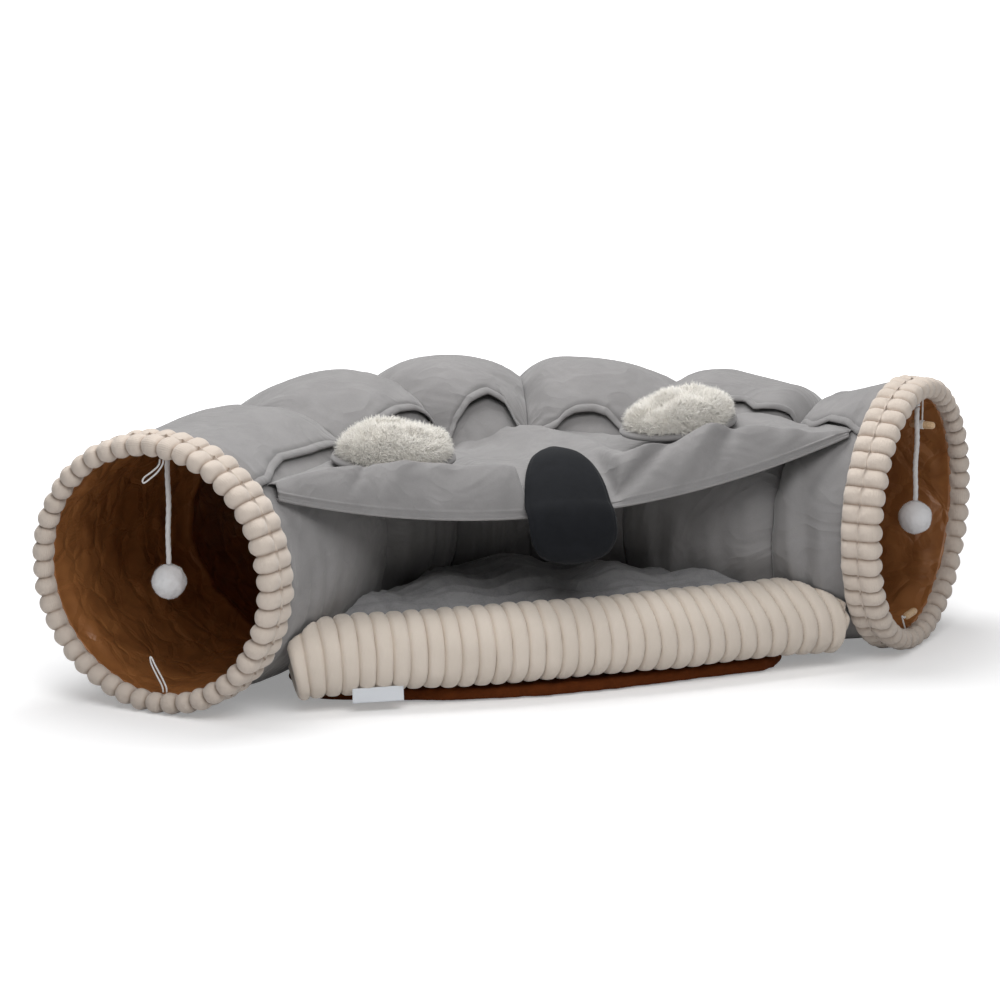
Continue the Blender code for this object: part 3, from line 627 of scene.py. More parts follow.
ribs = Nodes("ring_of_ribs", {"Rib count": 46, "Unevenness": 0.0008, "Seed": 7})
inputs = ribs.inputs
spots = ribs.add("GeometryNodePoints", {"Count": inputs["Rib count"]})
index = ribs.add("GeometryNodeInputIndex")
part_turn = ribs.sum_of("DIVIDE", 2 * math.pi, inputs["Rib count"])
about = ribs.add("ShaderNodeCombineXYZ",
                 {"Z": ribs.sum_of("MULTIPLY", index.outputs[0], part_turn)})
placed = ribs.add("GeometryNodeInstanceOnPoints",
                  {"Points": spots.outputs[0], "Instance": inputs["Geometry"],
                   "Rotation": about.outputs[0]})
real = ribs.add("GeometryNodeRealizeInstances", {"Geometry": placed.outputs[0]})
welded = ribs.add("GeometryNodeMergeByDistance", {"Geometry": real.outputs[0], "Distance": 0.00004})
stuffed = ribs.add("ShaderNodeTexNoise", {"Scale": 55.0, "Detail": 2.0, "W": inputs["Seed"]},
                   noise_dimensions="4D")
centred = ribs.sum_of("SUBTRACT", stuffed.outputs["Fac"], 0.5)
amount = ribs.sum_of("MULTIPLY", centred, inputs["Unevenness"])
outwards = ribs.add("GeometryNodeInputNormal")
push = ribs.add("ShaderNodeVectorMath",
                {0: outwards.outputs[0], "Scale": ribs.sum_of("MULTIPLY", amount, 4.0)},
                operation="SCALE")
moved = ribs.add("GeometryNodeSetPosition", {"Geometry": welded.outputs[0],
                                             "Offset": push.outputs[0]})
smooth = ribs.add("GeometryNodeSetShadeSmooth", {"Geometry": moved.outputs[0]})


def face_out(mesh):
    """Turns a closed mesh's faces outwards."""
    shape = bmesh.new()
    shape.from_mesh(mesh)
    bmesh.ops.recalc_face_normals(shape, faces=shape.faces)
    shape.to_mesh(mesh)
    shape.free()


band_stretch = {"left": 1.37, "right": 1.0}
for side in ("left", "right"):
    place, heading = centre_line(mouth_distance(side, 0.0))
    outward = Vector((math.cos(heading), math.sin(heading), 0)) * (-1 if side == "left" else 1)
    frame_of_ring = Matrix((up, outward.cross(up), outward)).transposed().to_4x4()
    frame_of_ring = Matrix.Translation(place + up * mouth_height) @ frame_of_ring
    mesh = ribs.grow(f"{side}_ring", rib_mesh.copy(), smooth.outputs[0], cream_plush,
                     **{"Rib count": ring_ribs, "Unevenness": 0.0009, "Seed": len(side)})
    for vert in mesh.vertices:
        if vert.co.z < stitch_place.z:
            vert.co.z = stitch_place.z + (vert.co.z - stitch_place.z) * band_stretch[side]
    mesh.transform(frame_of_ring)
    for vert in mesh.vertices:
        if vert.co.z < 0.0004:
            vert.co.z = 0.0004 + 0.05 * (vert.co.z - 0.0004)
    face_out(mesh)
    mesh.shade_smooth()
    finish_piece(f"{side}_ring_plush", mesh, cream_plush, "tunnel_bed",
                 (f"{side}_ring_roll", f"{side}_ring_band"))


# Tunnel cover: six panels of grey brushed suede cloth, each cut as one sheet, rolled round the
# hoops and drawn in at the seams. The top edge is a soft hem that puffs up over the layer below.
def suede_look(name, colour, shade, mottle=34, nap=0.5):
    """Brushed cloth: cloudy patches where the nap lies over, a fine grain, rucks and a sheen."""
    look, tree, shader = new_look(name, {"Roughness": 0.88, "Specular IOR Level": 0.2,
                                         "Sheen Weight": 0.3, "Sheen Roughness": 0.4})
    clouds = noise_over(tree, mottle, Detail=3, Distortion=0.6).outputs["Fac"]
    fibres = noise_over(tree, 620, Detail=4, Roughness=0.75).outputs["Fac"]
    mixed = add_node(tree, "ShaderNodeMath", {0: fibres, 1: nap, 2: clouds},
                     operation="MULTIPLY_ADD")
    amount = add_node(tree, "ShaderNodeMapRange", {"Value": mixed.outputs[0], "From Min": 0.45,
                                                   "From Max": 1.05})
    tree.links.new(between(tree, amount.outputs[0], shade, colour), shader.inputs["Base Color"])
    grain = raise_by(tree, shader, fibres, 0.35, 0.0004)
    rucks = noise_over(tree, 13, Detail=2, Distortion=1.6)
    crease = add_node(tree, "ShaderNodeMath", {0: rucks.outputs["Fac"], 1: 0.5},
                      operation="PINGPONG")
    raise_by(tree, grain, crease.outputs[0], 0.5, 0.012)
    return look


grey_suede = suede_look("grey_suede", (0.292, 0.283, 0.281), (0.236, 0.229, 0.228))
clearance = 0.0003
band_end = 0.0343
sleeve_radius = 0.12
cover_radius = 0.125
hoop_place_shares = (0.14, 0.357, 0.49, 0.617, 0.785, 0.85, 0.917)
hoop_size_shares = (1.0, 1.0, 1.0, 0.98, 0.975, 0.94, 0.935)
seam_place_shares = (0.245, 0.42, 0.566, 0.725, 0.887)
hoop_places = [share * tunnel_length for share in hoop_place_shares]
seam_places = [share * tunnel_length for share in seam_place_shares]
size_places = [band_end, *hoop_places, tunnel_length - band_end]
size_radii = [sleeve_radius, *[cover_radius * share for share in hoop_size_shares], sleeve_radius]
size_heights = [mouth_height, *[radius + clearance for radius in size_radii[1:-1]], mouth_height]
drawn_stops = sorted([(place, 0) for place in hoop_places] + [(place, 1) for place in seam_places])
drawn_stops = [(band_end, 0), *drawn_stops, (tunnel_length - band_end, 0)]


def drawn_in(distance):
    """0 at a hoop and 1 at a seam, where the cloth is drawn in."""
    for (near, near_value), (far, far_value) in zip(drawn_stops, drawn_stops[1:]):
        if near <= distance <= far and near_value != far_value:
            share = (distance - near) / (far - near)
            share = share if far_value else 1 - share
            return 0.5 * share ** 2 + 0.5 * share ** 3
    return 0.0


def tunnel_size(distance):
    return (float(np.interp(distance, size_places, size_radii)),
            float(np.interp(distance, size_places, size_heights)))


def soft(value):
    value = min(max(value, 0.0), 1.0)
    return value * value * (3 - 2 * value)


hem_turns = ((0.055, 47), (0.074, 43), (0.10, 40), (0.146, 42), (0.198, 42), (0.235, 48),
             (0.26, 46), (0.30, 40), (0.341, 39), (0.371, 40), (0.401, 43), (0.43, 54),
             (0.445, 47), (0.47, 41), (0.505, 37), (0.53, 40), (0.545, 50), (0.566, 56),
             (0.60, 54), (0.613, 52), (0.624, 48), (0.64, 45), (0.668, 43), (0.687, 43),
             (0.703, 46), (0.72, 50), (0.74, 46), (0.77, 36), (0.80, 30), (0.832, 25),
             (0.846, 29), (0.86, 27), (0.879, 22), (0.896, 30), (0.912, 36), (0.931, 33),
             (0.951, 37), (0.967, 42))
hem_width = 0.009


def hem_turn(distance):
    """Where the cover's hemmed edge lies, as a turn towards the bed."""
    share = distance / tunnel_length
    return math.radians(float(np.interp(share, *zip(*hem_turns))))


def cloth_point(distance, turn, lift=0.0, panel=0):
    """A point of the cover's cloth with its gathers, folds and slack."""
    radius, height = tunnel_size(distance)
    top_share = 0.3 + 0.7 * (1 + math.cos(turn)) / 2
    pull = drawn_in(distance)
    radius -= 0.022 * top_share * pull
    spot = Vector((math.cos(turn) * 2.2, math.sin(turn) * 2.2, distance * 16 + panel * 9))
    ruck = noise.noise(Vector((turn * 5.6, panel * 7.3, distance * 7)))
    fine = noise.noise(Vector((turn * 11.5, panel * 3.1, distance * 14)))
    radius += (0.0030 * ruck + 0.0018 * fine) * (0.18 + 0.82 * pull ** 0.7)
    loose = 0.0022 * noise.noise(spot)
    radius += loose if pull > 0.15 or loose > 0 else loose * 0.2
    side = math.exp(-((turn - math.radians(100)) / math.radians(30)) ** 2)
    fold = noise.noise(Vector((distance * 62, turn * 1.2, 3.0 + panel)))
    radius += side * 0.0058 * fold * (1 - pull)
    radius += lift
    point = tunnel_point(distance, turn, radius, height)
    point.z = max(point.z, 0.0008)
    return point


def hem_lift(distance):
    """How far the hem puffs up off the layer below it."""
    share = distance / tunnel_length
    lift = 0.0035
    for middle, half, rise in ((0.49, 0.06, 0.0055), (0.655, 0.055, 0.0045), (0.33, 0.08, 0.002),
                               (0.79, 0.05, 0.002), (0.86, 0.02, 0.002), (0.93, 0.03, 0.002)):
        lift += rise * math.exp(-((share - middle) / half) ** 2)
    return lift * (1 - 0.75 * drawn_in(distance) ** 2)


def face_from_line(mesh, start, end, outwards):
    """Turns a length of tunnel cloth to face away from the middle line, or towards it."""
    face = mesh.polygons[len(mesh.polygons) // 2]
    inner, _ = centre_line((start + end) / 2)
    away = face.normal.dot(Vector(face.center) - (inner + up * mouth_height)) > 0
    if away != outwards:
        mesh.flip_normals()


def thick_cloth(name, mesh, thickness, offset=-1):
    """A plain mesh of a sheet with its thickness."""
    cloth = add_object(name, mesh)
    shell = cloth.modifiers.new("thickness", "SOLIDIFY")
    shell.thickness = thickness
    shell.offset = offset
    graph = bpy.context.evaluated_depsgraph_get()
    made = bpy.data.meshes.new_from_object(cloth.evaluated_get(graph))
    bpy.data.objects.remove(cloth)
    made.shade_smooth()
    return made


cover_start = 0.0145
panel_starts = [cover_start, *[place + 0.0002 for place in seam_places]]
panel_ends = [*[place - 0.0002 for place in seam_places], tunnel_length - cover_start]
for panel, (start, end) in enumerate(zip(panel_starts, panel_ends)):
    stations = max(16, round((end - start) / 0.0027))
    points = []
    for i in range(-1, stations + 2):
        distance = start + (end - start) * min(max(i, 0), stations) / stations
        turned_in = 0.0025 if i < 0 or i > stations else 0.0
        edge = hem_turn(distance)
        hem_angle = hem_width / tunnel_size(distance)[0]
        under = math.radians(-8)
        lift = hem_lift(distance)
        if distance < band_end + 0.002 or distance > tunnel_length - band_end - 0.002:
            lift = 0.0012
        row = []
        for j in range(9):
            turn = under + (edge + 0.10 - under) * j / 8
            row.append(cloth_point(distance, turn, -0.0012 - turned_in, panel))
        start_low = edge + 0.16
        top = 2 * math.pi + edge
        first, last = start_low, top - hem_angle
        body = 118
        for j in range(body):
            turn = first + (last - first) * j / (body - 1)
            rise = lift * soft((turn - 2 * math.pi + math.radians(6)) / math.radians(36))
            drop = -0.0012 * (1 - soft((turn - first) / 0.10))
            row.append(cloth_point(distance, turn, rise + drop - turned_in, panel))
        for share, bump in ((0.06, -0.0008), (0.14, -0.0002), (0.26, 0.0006), (0.42, 0.0012),
                            (0.60, 0.0013), (0.78, 0.0009), (0.92, 0.0001), (1.0, -0.0010)):
            turn = last + hem_angle * share
            row.append(cloth_point(distance, turn, lift + bump - turned_in, panel))
        points.append(row)
    points = np.array([[tuple(p) for p in row] for row in points])
    mesh = grid_mesh(f"outer_cover_{panel + 1}", points, (0.006, 0.0027))
    face_out(mesh)
    face_from_line(mesh, start, end, outwards=True)
    made = thick_cloth(f"cover_panel_{panel + 1}", mesh, 0.0011)
    cloth = finish_piece(f"cover_panel_{panel + 1}", made, grey_suede, "tunnel_bed",
                         (f"outer_cover_{panel + 1}",))


# Lining: thin brown coated nylon, in six lengths inside the hoops. It is cut a little too large,
# so it hangs in sharp creases, and its front edge is sewn into the seam of each lip.
nylon, tree, shader = new_look("brown_coated_nylon", {"Roughness": 0.42,
                                                      "Specular IOR Level": 0.45})
clouds = noise_over(tree, 26, Detail=5, Distortion=1.2)
tone = two_tones(tree, clouds.outputs["Fac"], 0.32, (0.24, 0.092, 0.028),
                 0.68, (0.37, 0.155, 0.050))
tree.links.new(tone, shader.inputs["Base Color"])
where = add_node(tree, "ShaderNodeTexCoord")
bent = add_node(tree, "ShaderNodeVectorMath", {0: clouds.outputs["Color"], 1: (0.02, 0.02, 0.02),
                                               2: where.outputs["Object"]},
                operation="MULTIPLY_ADD")
creases = add_node(tree, "ShaderNodeTexVoronoi", {"Vector": bent.outputs[0], "Scale": 30},
                   feature="DISTANCE_TO_EDGE")
ridge = add_node(tree, "ShaderNodeMapRange", {"Value": creases.outputs["Distance"],
                                              "From Max": 0.16})
raise_by(tree, shader, ridge.outputs[0], 0.50, 0.0022)

lip_seam = 0.0062
lining_starts = [lip_seam, *[place + 0.0002 for place in seam_places]]
lining_ends = [*[place - 0.0002 for place in seam_places], tunnel_length - lip_seam]
for panel, (start, end) in enumerate(zip(lining_starts, lining_ends)):
    stations = max(16, round((end - start) / 0.0032))
    points = []
    for i in range(stations + 1):
        distance = start + (end - start) * i / stations
        to_mouth = min(distance, tunnel_length - distance)
        radius, height = tunnel_size(distance)
        pull = drawn_in(distance)
        row = []
        for j in range(120):
            turn = 2 * math.pi * j / 120
            top_share = 0.3 + 0.7 * (1 + math.cos(turn)) / 2
            reach = radius - 0.022 * top_share * pull - 0.0066
            spot = Vector((math.cos(turn) * 1.9, math.sin(turn) * 1.9, distance * 15))
            slack = 0.42 + 0.8 * noise.noise(spot) + 0.32 * noise.noise(spot * 3.1)
            skew = distance * 24 + 2.2 * math.sin(turn) + 1.6 * noise.noise(spot * 0.8)
            slack += 1.0 * abs(noise.noise(Vector((skew, math.cos(turn) * 4, math.sin(turn) * 1.3))))
            slack = max(slack, 0.0)
            open_share = soft((to_mouth - lip_seam) / 0.02)
            reach -= 0.0052 * slack * open_share + 0.004 * pull ** 4
            if to_mouth < band_end:
                near = soft((to_mouth - lip_seam) / (band_end - lip_seam))
                reach = 0.1108 * (1 - near) + reach * near
            point = tunnel_point(distance, turn, reach, height)
            point.z = max(point.z, 0.0024)
            row.append(tuple(point))
        points.append(row)
    mesh = grid_mesh(f"lining_{panel + 1}", np.array(points), (0.0059, 0.0032), round_columns=True)
    face_from_line(mesh, start, end, outwards=False)
    made = thick_cloth(f"lining_{panel + 1}", mesh, 0.0006)
    cloth = finish_piece(f"lining_cloth_{panel + 1}", made, nylon, "tunnel_bed",
                         (f"lining_{panel + 1}",))


# Hoops: sprung steel wire, closed rings in the pockets between cover and lining, one in each
# end ring and seven along the tunnel.
spring_steel, tree, shader = new_look("spring_steel", {"Metallic": 1,
                                                       "Base Color": (0.50, 0.50, 0.52, 1)})
scuffs = noise_over(tree, 240)
dull = add_node(tree, "ShaderNodeMapRange", {"Value": scuffs.outputs["Fac"], "To Min": 0.22,
                                             "To Max": 0.45})
tree.links.new(dull.outputs[0], shader.inputs["Roughness"])
wire_radius = 0.002
hoops = [(f"spring_hoop_{k + 1}", place, tunnel_size(place)[0] - 0.0018 - wire_radius)
         for k, place in enumerate(hoop_places)]
hoops += [("left_end_hoop", 0.0118, 0.118), ("right_end_hoop", tunnel_length - 0.0118, 0.118)]
for name, place, radius in hoops:
    height = tunnel_size(place)[1]
    ring = [tunnel_point(place, 2 * math.pi * k / 120, radius, height) for k in range(121)]
    mesh = tube_mesh(name, ring, lambda k, a: wire_radius, 10)
    finish_piece(name + "_wire", mesh, spring_steel, "tunnel_bed", (name,))


# Mat base: brown cotton over a thin foam sheet, cut to fit between the legs of the tunnel, with
# its front edge sewn in shallow puckers.
def side_reach(height):
    """How far the tunnel's bulge reaches from its middle line at a height."""
    return math.sqrt(mouth_height ** 2 - (mouth_height - height) ** 2) + clearance


def bed_outline(start, reach, bend_steps, front):
    """Plan outline along the tunnel, then back through the points of the front edge."""
    places = [start]
    bend_length = 2 * bend_radius * bend_half_angle
    places += [leg_length + bend_length * k / bend_steps for k in range(bend_steps + 1)]
    places += [tunnel_length - start]
    outline = []
    for distance in places:
        place, heading = centre_line(distance)
        outline.append(place + bed_side(heading) * reach)
    return outline + [Vector((x, y, 0)) for x, y in front]


def even_steps(points, count):
    """The same closed outline in even steps."""
    points = [*points, points[0]]
    lengths = [0.0]
    for a, b in zip(points, points[1:]):
        lengths.append(lengths[-1] + (b - a).length)
    at = np.linspace(0, lengths[-1], count, endpoint=False)
    return [Vector((float(np.interp(t, lengths, [p.x for p in points])),
                    float(np.interp(t, lengths, [p.y for p in points])), 0)) for t in at]


def layered_pad(name, outline, centre, rows, shape_point):
    """A closed pad: rings of points from the outline to its middle, top and bottom."""
    shape = bmesh.new()
    rings = []
    for inset, height in rows:
        ring = []
        for point in outline:
            spot = centre.lerp(point, inset)
            ring.append(shape.verts.new(shape_point(spot, inset, height)))
        rings.append(ring)
    for lower, upper in zip(rings, rings[1:]):
        for k in range(len(outline)):
            n = (k + 1) % len(outline)
            shape.faces.new((lower[k], lower[n], upper[n], upper[k]))
    shape.faces.new(rings[0])
    crown = shape.verts.new(sum((v.co for v in rings[-1]), Vector()) / len(outline))
    for k in range(len(outline)):
        shape.faces.new((rings[-1][k], rings[-1][(k + 1) % len(outline)], crown))
    bmesh.ops.recalc_face_normals(shape, faces=shape.faces)
    mesh = bpy.data.meshes.new(name)
    shape.to_mesh(mesh)
    shape.free()
    mesh.shade_smooth()
    return mesh


brown_cotton = suede_look("brown_cotton", (0.135, 0.034, 0.0075), (0.088, 0.021, 0.0045), 60, 0.6)
brown_cotton.node_tree.nodes["Principled BSDF"].inputs["Sheen Weight"].default_value = 0.0
brown_cotton.node_tree.nodes["Principled BSDF"].inputs["Specular IOR Level"].default_value = 0.1
base_height = 0.011
base_front = ((0.228, -0.158), (0.2150, -0.1770), (0.1997, -0.1855), (0.1333, -0.1925),
              (0.0524, -0.2015), (-0.0156, -0.2037), (-0.0617, -0.199), (-0.1066, -0.1911),
              (-0.1434, -0.1789), (-0.1879, -0.1642), (-0.2180, -0.1500))
outline = even_steps(bed_outline(0.145, side_reach(base_height), 24, base_front), 520)
bed_middle = Vector((0, mouth_y + 0.05, 0))


def base_point(spot, inset, height):
    pucker = noise.noise(Vector((spot.x * 62, spot.y * 46, 1.0)))
    fine = noise.noise(Vector((spot.x * 190, spot.y * 150, height * 220)))
    out = (spot - bed_middle).normalized()
    edge = soft((inset - 0.8) / 0.2)
    spot = spot + out * edge * (0.0022 * pucker + 0.0012 * fine - 0.001)
    lift = 1 + 0.16 * pucker * edge
    return Vector((spot.x, spot.y, 0.0006 + (height - 0.0006) * lift))


rows = [(0.975, 0.0006), (0.99, 0.0012), (0.998, 0.0034), (1.0, 0.0058), (0.997, 0.0084),
        (0.988, 0.0103), (0.972, 0.0110), (0.93, 0.0112), (0.84, 0.0112), (0.6, 0.0112), (0.3, 0.0112)]
mesh = layered_pad("mat_base", outline, bed_middle, rows, base_point)
base = finish_piece("mat_base_quilted", mesh, brown_cotton, "tunnel_bed", ("mat_base",))


# Cushion: a loose pad of grey plush that lies on the base and fills the bed. Its cover is slack,
# so it lies in soft rumples and sags a little between the places where it is tufted.
plush = suede_look("grey_plush", (0.275, 0.272, 0.276), (0.165, 0.163, 0.168), 62, 0.9)
cushion_edge = 0.060
cushion_front = ((0.262, -0.142), (0.20, -0.1475), (0.12, -0.153), (0.04, -0.156), (-0.04, -0.1555),
                 (-0.12, -0.151), (-0.19, -0.1435), (-0.238, -0.1365))
cushion_middle = Vector((0.005, mouth_y + 0.078, 0))
cushion_outline = even_steps(bed_outline(0.134, side_reach(cushion_edge) + 0.002, 24, cushion_front),
                             360)


def cushion_point(spot, inset, height):
    top = soft((height - 0.045) / 0.02)
    wave = math.cos(2 * math.pi * 4.5 * spot.x / half_span)
    rumple = noise.noise(Vector((spot.x * 9, spot.y * 16, 2.0)))
    bent = spot.y + 0.35 * spot.x * spot.x + 0.020 * rumple
    arc = 1 - 3.4 * abs(noise.noise(Vector((spot.x * 7, bent * 36, 7.0))))
    short_arc = 1 - 3.0 * abs(noise.noise(Vector((spot.x * 21 + 3 * rumple, bent * 60, 4.0))))
    fine = noise.noise(Vector((spot.x * 75, spot.y * 95, 5.0)))
    height += top * (0.004 * wave * (1 - inset ** 4) + 0.0060 * rumple + 0.0044 * max(arc, -0.6)
                     + 0.0015 * max(short_arc, -0.5) + 0.0009 * fine)
    out = (spot - cushion_middle).normalized()
    spot = spot + out * (1 - top) * 0.0015 * fine
    return Vector((spot.x, spot.y, max(height, base_height + 0.0003)))


rows = [(0.94, 0.0115), (0.965, 0.0150), (0.985, 0.0230), (0.992, 0.0360), (0.985, 0.0470),
        (0.970, 0.0550), (0.95, 0.0615), (0.92, 0.0680), (0.885, 0.0730), (0.84, 0.0765)]
rows += [(0.84 - 0.012 * k, 0.0765 + 0.0066 * soft(k / 40)) for k in range(1, 68)]
mesh = layered_pad("mat_cushion", cushion_outline, cushion_middle, rows, cushion_point)
legs = []
for side in ("left", "right"):
    mouth, heading = centre_line(mouth_distance(side, 0.0))
    inwards = Vector((math.cos(heading), math.sin(heading), 0))
    legs.append((mouth, inwards if side == "left" else -inwards))


def clear_of_legs(point, at_mouth, further_in):
    """The same point, moved out of a leg of the tunnel where it lies within the leg's wall."""
    for mouth, inwards in legs:
        deep = (point - mouth).dot(inwards)
        on_line = mouth + inwards * deep + up * mouth_height
        away = point - on_line
        wall = at_mouth if deep < 0.029 else further_in + 0.0045 * soft((deep - 0.029) / 0.04)
        if -0.02 < deep < leg_length + 0.03 and away.length < wall:
            return on_line + away * (wall / away.length)
    return point


for vert in mesh.vertices:
    vert.co = clear_of_legs(vert.co, 0.1290, 0.1225)
cushion = finish_piece("cushion_plush", mesh, plush, "tunnel_bed", ("mat_cushion",))


# Front bolster: a stuffed roll of the same cream plush, closed at both ends, whose 35 ribs run
# round it. It is sewn along the front of the base and sags a little over the base at its ends.
bolster_radius = 0.036
bolster_half_length = 0.267
bolster_shift = 0.015


def bolster_line(share):
    x = bolster_shift + bolster_half_length * (2 * share - 1)
    y = mouth_y - 0.044 + 0.022 * (2 * share - 1) ** 2
    z = base_height + clearance + bolster_radius - 0.008 * (2 * share - 1) ** 8
    return Vector((x, y, z))


def cap_ends(mesh, columns):
    """Closes both ends of a surface that is rolled up along its columns."""
    shape = bmesh.new()
    shape.from_mesh(mesh)
    shape.verts.ensure_lookup_table()
    for first in (0, len(shape.verts) - columns):
        shape.faces.new([shape.verts[first + j] for j in range(columns)])
    bmesh.ops.recalc_face_normals(shape, faces=shape.faces)
    shape.to_mesh(mesh)
    shape.free()


steps = 700
points = np.zeros((steps + 1, 72, 3))
along_rib = np.zeros((steps + 1, 72))
for i in range(steps + 1):
    share = 0.989 * i / steps
    end = min(share, 0.989 - share)
    centre = bolster_line(share)
    before = bolster_line(share - 0.001)
    along = (bolster_line(share + 0.001) - before).normalized()
    side = along.cross(up).normalized()
    rise = side.cross(along)
    round_off = math.sqrt(max(0.0, 1 - (1 - min(end / 0.017, 1)) ** 2.4))
    radius = bolster_radius * (0.50 + 0.53 * round_off) * (1 + 0.014 * math.sin(21 * share))
    for j in range(72):
        turn = 2 * math.pi * j / 72
        flat = 1 - 0.05 * max(0, -math.sin(turn)) ** 3
        swell = 0.0012 * noise.noise(Vector((share * 26, math.cos(turn) * 1.6, math.sin(turn) * 1.6)))
        out = side * math.cos(turn) + rise * math.sin(turn) * flat
        points[i, j] = centre + out * (radius + swell)
        lean = 0.0175 * soft((share - 0.45) / 0.45)
        bow = 0.006 * soft((share - 0.35) / 0.5)
        front = math.cos(turn)
        along_rib[i, j] = share + lean * math.sin(turn) - bow * front * (1 - math.sin(turn) ** 2)
bolster_mesh = grid_mesh("front_bolster", points, (0.00314, 0.00077), round_columns=True)
marks = bolster_mesh.attributes.new("along", "FLOAT", "POINT")
marks.data.foreach_set("value", along_rib.astype(np.float32).ravel())
cap_ends(bolster_mesh, 72)

roll = Nodes("ribbed_roll", {"Rib count": 35.0, "Groove depth": 0.003, "Uneven ribs": 0.18,
                             "Seed": 11.0})
inputs = roll.inputs
along = roll.add("GeometryNodeInputNamedAttribute", {"Name": "along"}, data_type="FLOAT")
wander = roll.add("ShaderNodeTexNoise", {"Scale": 9.0, "Detail": 1.0, "W": inputs["Seed"]},
                  noise_dimensions="4D")
centred = roll.sum_of("SUBTRACT", wander.outputs["Fac"], 0.5)
amount = roll.sum_of("MULTIPLY", centred, inputs["Uneven ribs"])
counted = roll.sum_of("MULTIPLY", along.outputs["Attribute"], inputs["Rib count"])
part_way = roll.sum_of("FRACT", roll.sum_of("ADD", counted, amount))
across = roll.sum_of("MULTIPLY_ADD", part_way, 2.0, -1.0)
steep = roll.sum_of("POWER", roll.sum_of("POWER", across, 2.0), 1.45)
rounded = roll.sum_of("POWER", roll.sum_of("SUBTRACT", 1.0, steep), 0.5)
drop = roll.sum_of("SUBTRACT", 1.0, rounded)
depth = roll.sum_of("MULTIPLY", drop, inputs["Groove depth"])
outwards = roll.add("GeometryNodeInputNormal")
push = roll.add("ShaderNodeVectorMath",
                {0: outwards.outputs[0], "Scale": roll.sum_of("MULTIPLY", depth, -1.0)},
                operation="SCALE")
ribbed = roll.add("GeometryNodeSetPosition", {"Geometry": inputs["Geometry"],
                                              "Offset": push.outputs[0]})
# The deep part of each groove is marked for painted shade in the plush's colour.
groove_shade_share = roll.add("ShaderNodeMapRange", {"Value": drop, "From Min": 0.45, "From Max": 1.0})
kept = roll.add("GeometryNodeStoreNamedAttribute",
                {"Geometry": ribbed.outputs[0], "Name": "groove_shade", "Value": groove_shade_share.outputs[0]},
                data_type="FLOAT", domain="POINT")
real = roll.add("GeometryNodeRealizeInstances", {"Geometry": kept.outputs[0]})
bolster_plush = ribbed_plush_look("cream_bolster_plush", (0.760, 0.675, 0.590),
                                  (0.67, 0.590, 0.505), 260)
mesh = roll.grow("front_bolster", bolster_mesh, real.outputs[0], bolster_plush,
                 **{"Groove depth": 0.0060})
on_base = base_height + 0.001
for vert in mesh.vertices:
    if vert.co.z < on_base:
        vert.co.z = max(on_base + 0.25 * (vert.co.z - on_base), 0.0045)
    vert.co = clear_of_legs(vert.co, 0.1290, 0.1215)
    vert.co.z = max(vert.co.z, 0.0045)
mesh.shade_smooth()
bolster = finish_piece("bolster_ribbed", mesh, bolster_plush, "tunnel_bed", ("front_bolster",))


# Label: a blank white satin tag, sewn under the bolster near its left end by its top edge.
satin, tree, shader = new_look("white_satin", {"Base Color": (0.72, 0.75, 0.79, 1),
                                               "Roughness": 0.35})
where = add_node(tree, "ShaderNodeTexCoord")
weave = add_node(tree, "ShaderNodeTexWave", {"Vector": where.outputs["Object"], "Scale": 900})
raise_by(tree, shader, weave.outputs["Fac"], 0.2, 0.0001)
low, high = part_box("label_tag")
label_length, label_height = 0.047, 0.0135
label_share = 0.1461
behind = bolster_line(label_share)
slope = bolster_line(label_share + 0.01) - behind
turned = Matrix.Rotation(math.atan2(slope.y, slope.x), 3, "Z")
label_middle = (Vector(low) + Vector(high)) / 2
points = []
for i in range(13):
    row = []
    for j in range(41):
        u, v = j / 40 - 0.5, i / 12
        curl = 0.0012 * math.sin(3.2 * u) - 0.0016 * v * v * (1 + 0.5 * math.sin(5 * u))
        flat = Vector((u * label_length, curl, (0.5 - v) * label_height))
        row.append(tuple(label_middle + turned @ flat))
    points.append(row)
mesh = grid_mesh("label", np.array(points), (0.0012, 0.0011))
made = thick_cloth("label", mesh, 0.0004, offset=0)
tag = finish_piece("label_blank", made, satin, "tunnel_bed", ("label_tag",))


# Roof flap: one layer of the same suede from under the cover's hem to a rolled hem over the
# front of the bed, held at both corners, sagging between them in long soft folds.
flap_start, flap_end = 0.048, 0.036
flap_ridges = ((0.052, 47), (0.082, 47), (0.11, 48), (0.192, 48), (0.275, 50), (0.35, 55),
               (0.426, 61), (0.453, 61), (0.492, 59), (0.549, 51), (0.585, 51), (0.621, 53),
               (0.67, 55), (0.712, 53), (0.758, 51), (0.799, 43), (0.838, 31), (0.852, 29),
               (0.876, 30), (0.898, 33), (0.926, 33), (0.959, 39))


def flap_corner(side):
    place = mouth_distance(side, flap_start if side == "left" else flap_end)
    radius, height = tunnel_size(place)
    turn = math.radians(54.5 if side == "left" else 43.0)
    return tunnel_point(place, turn, radius + 0.0036, height)


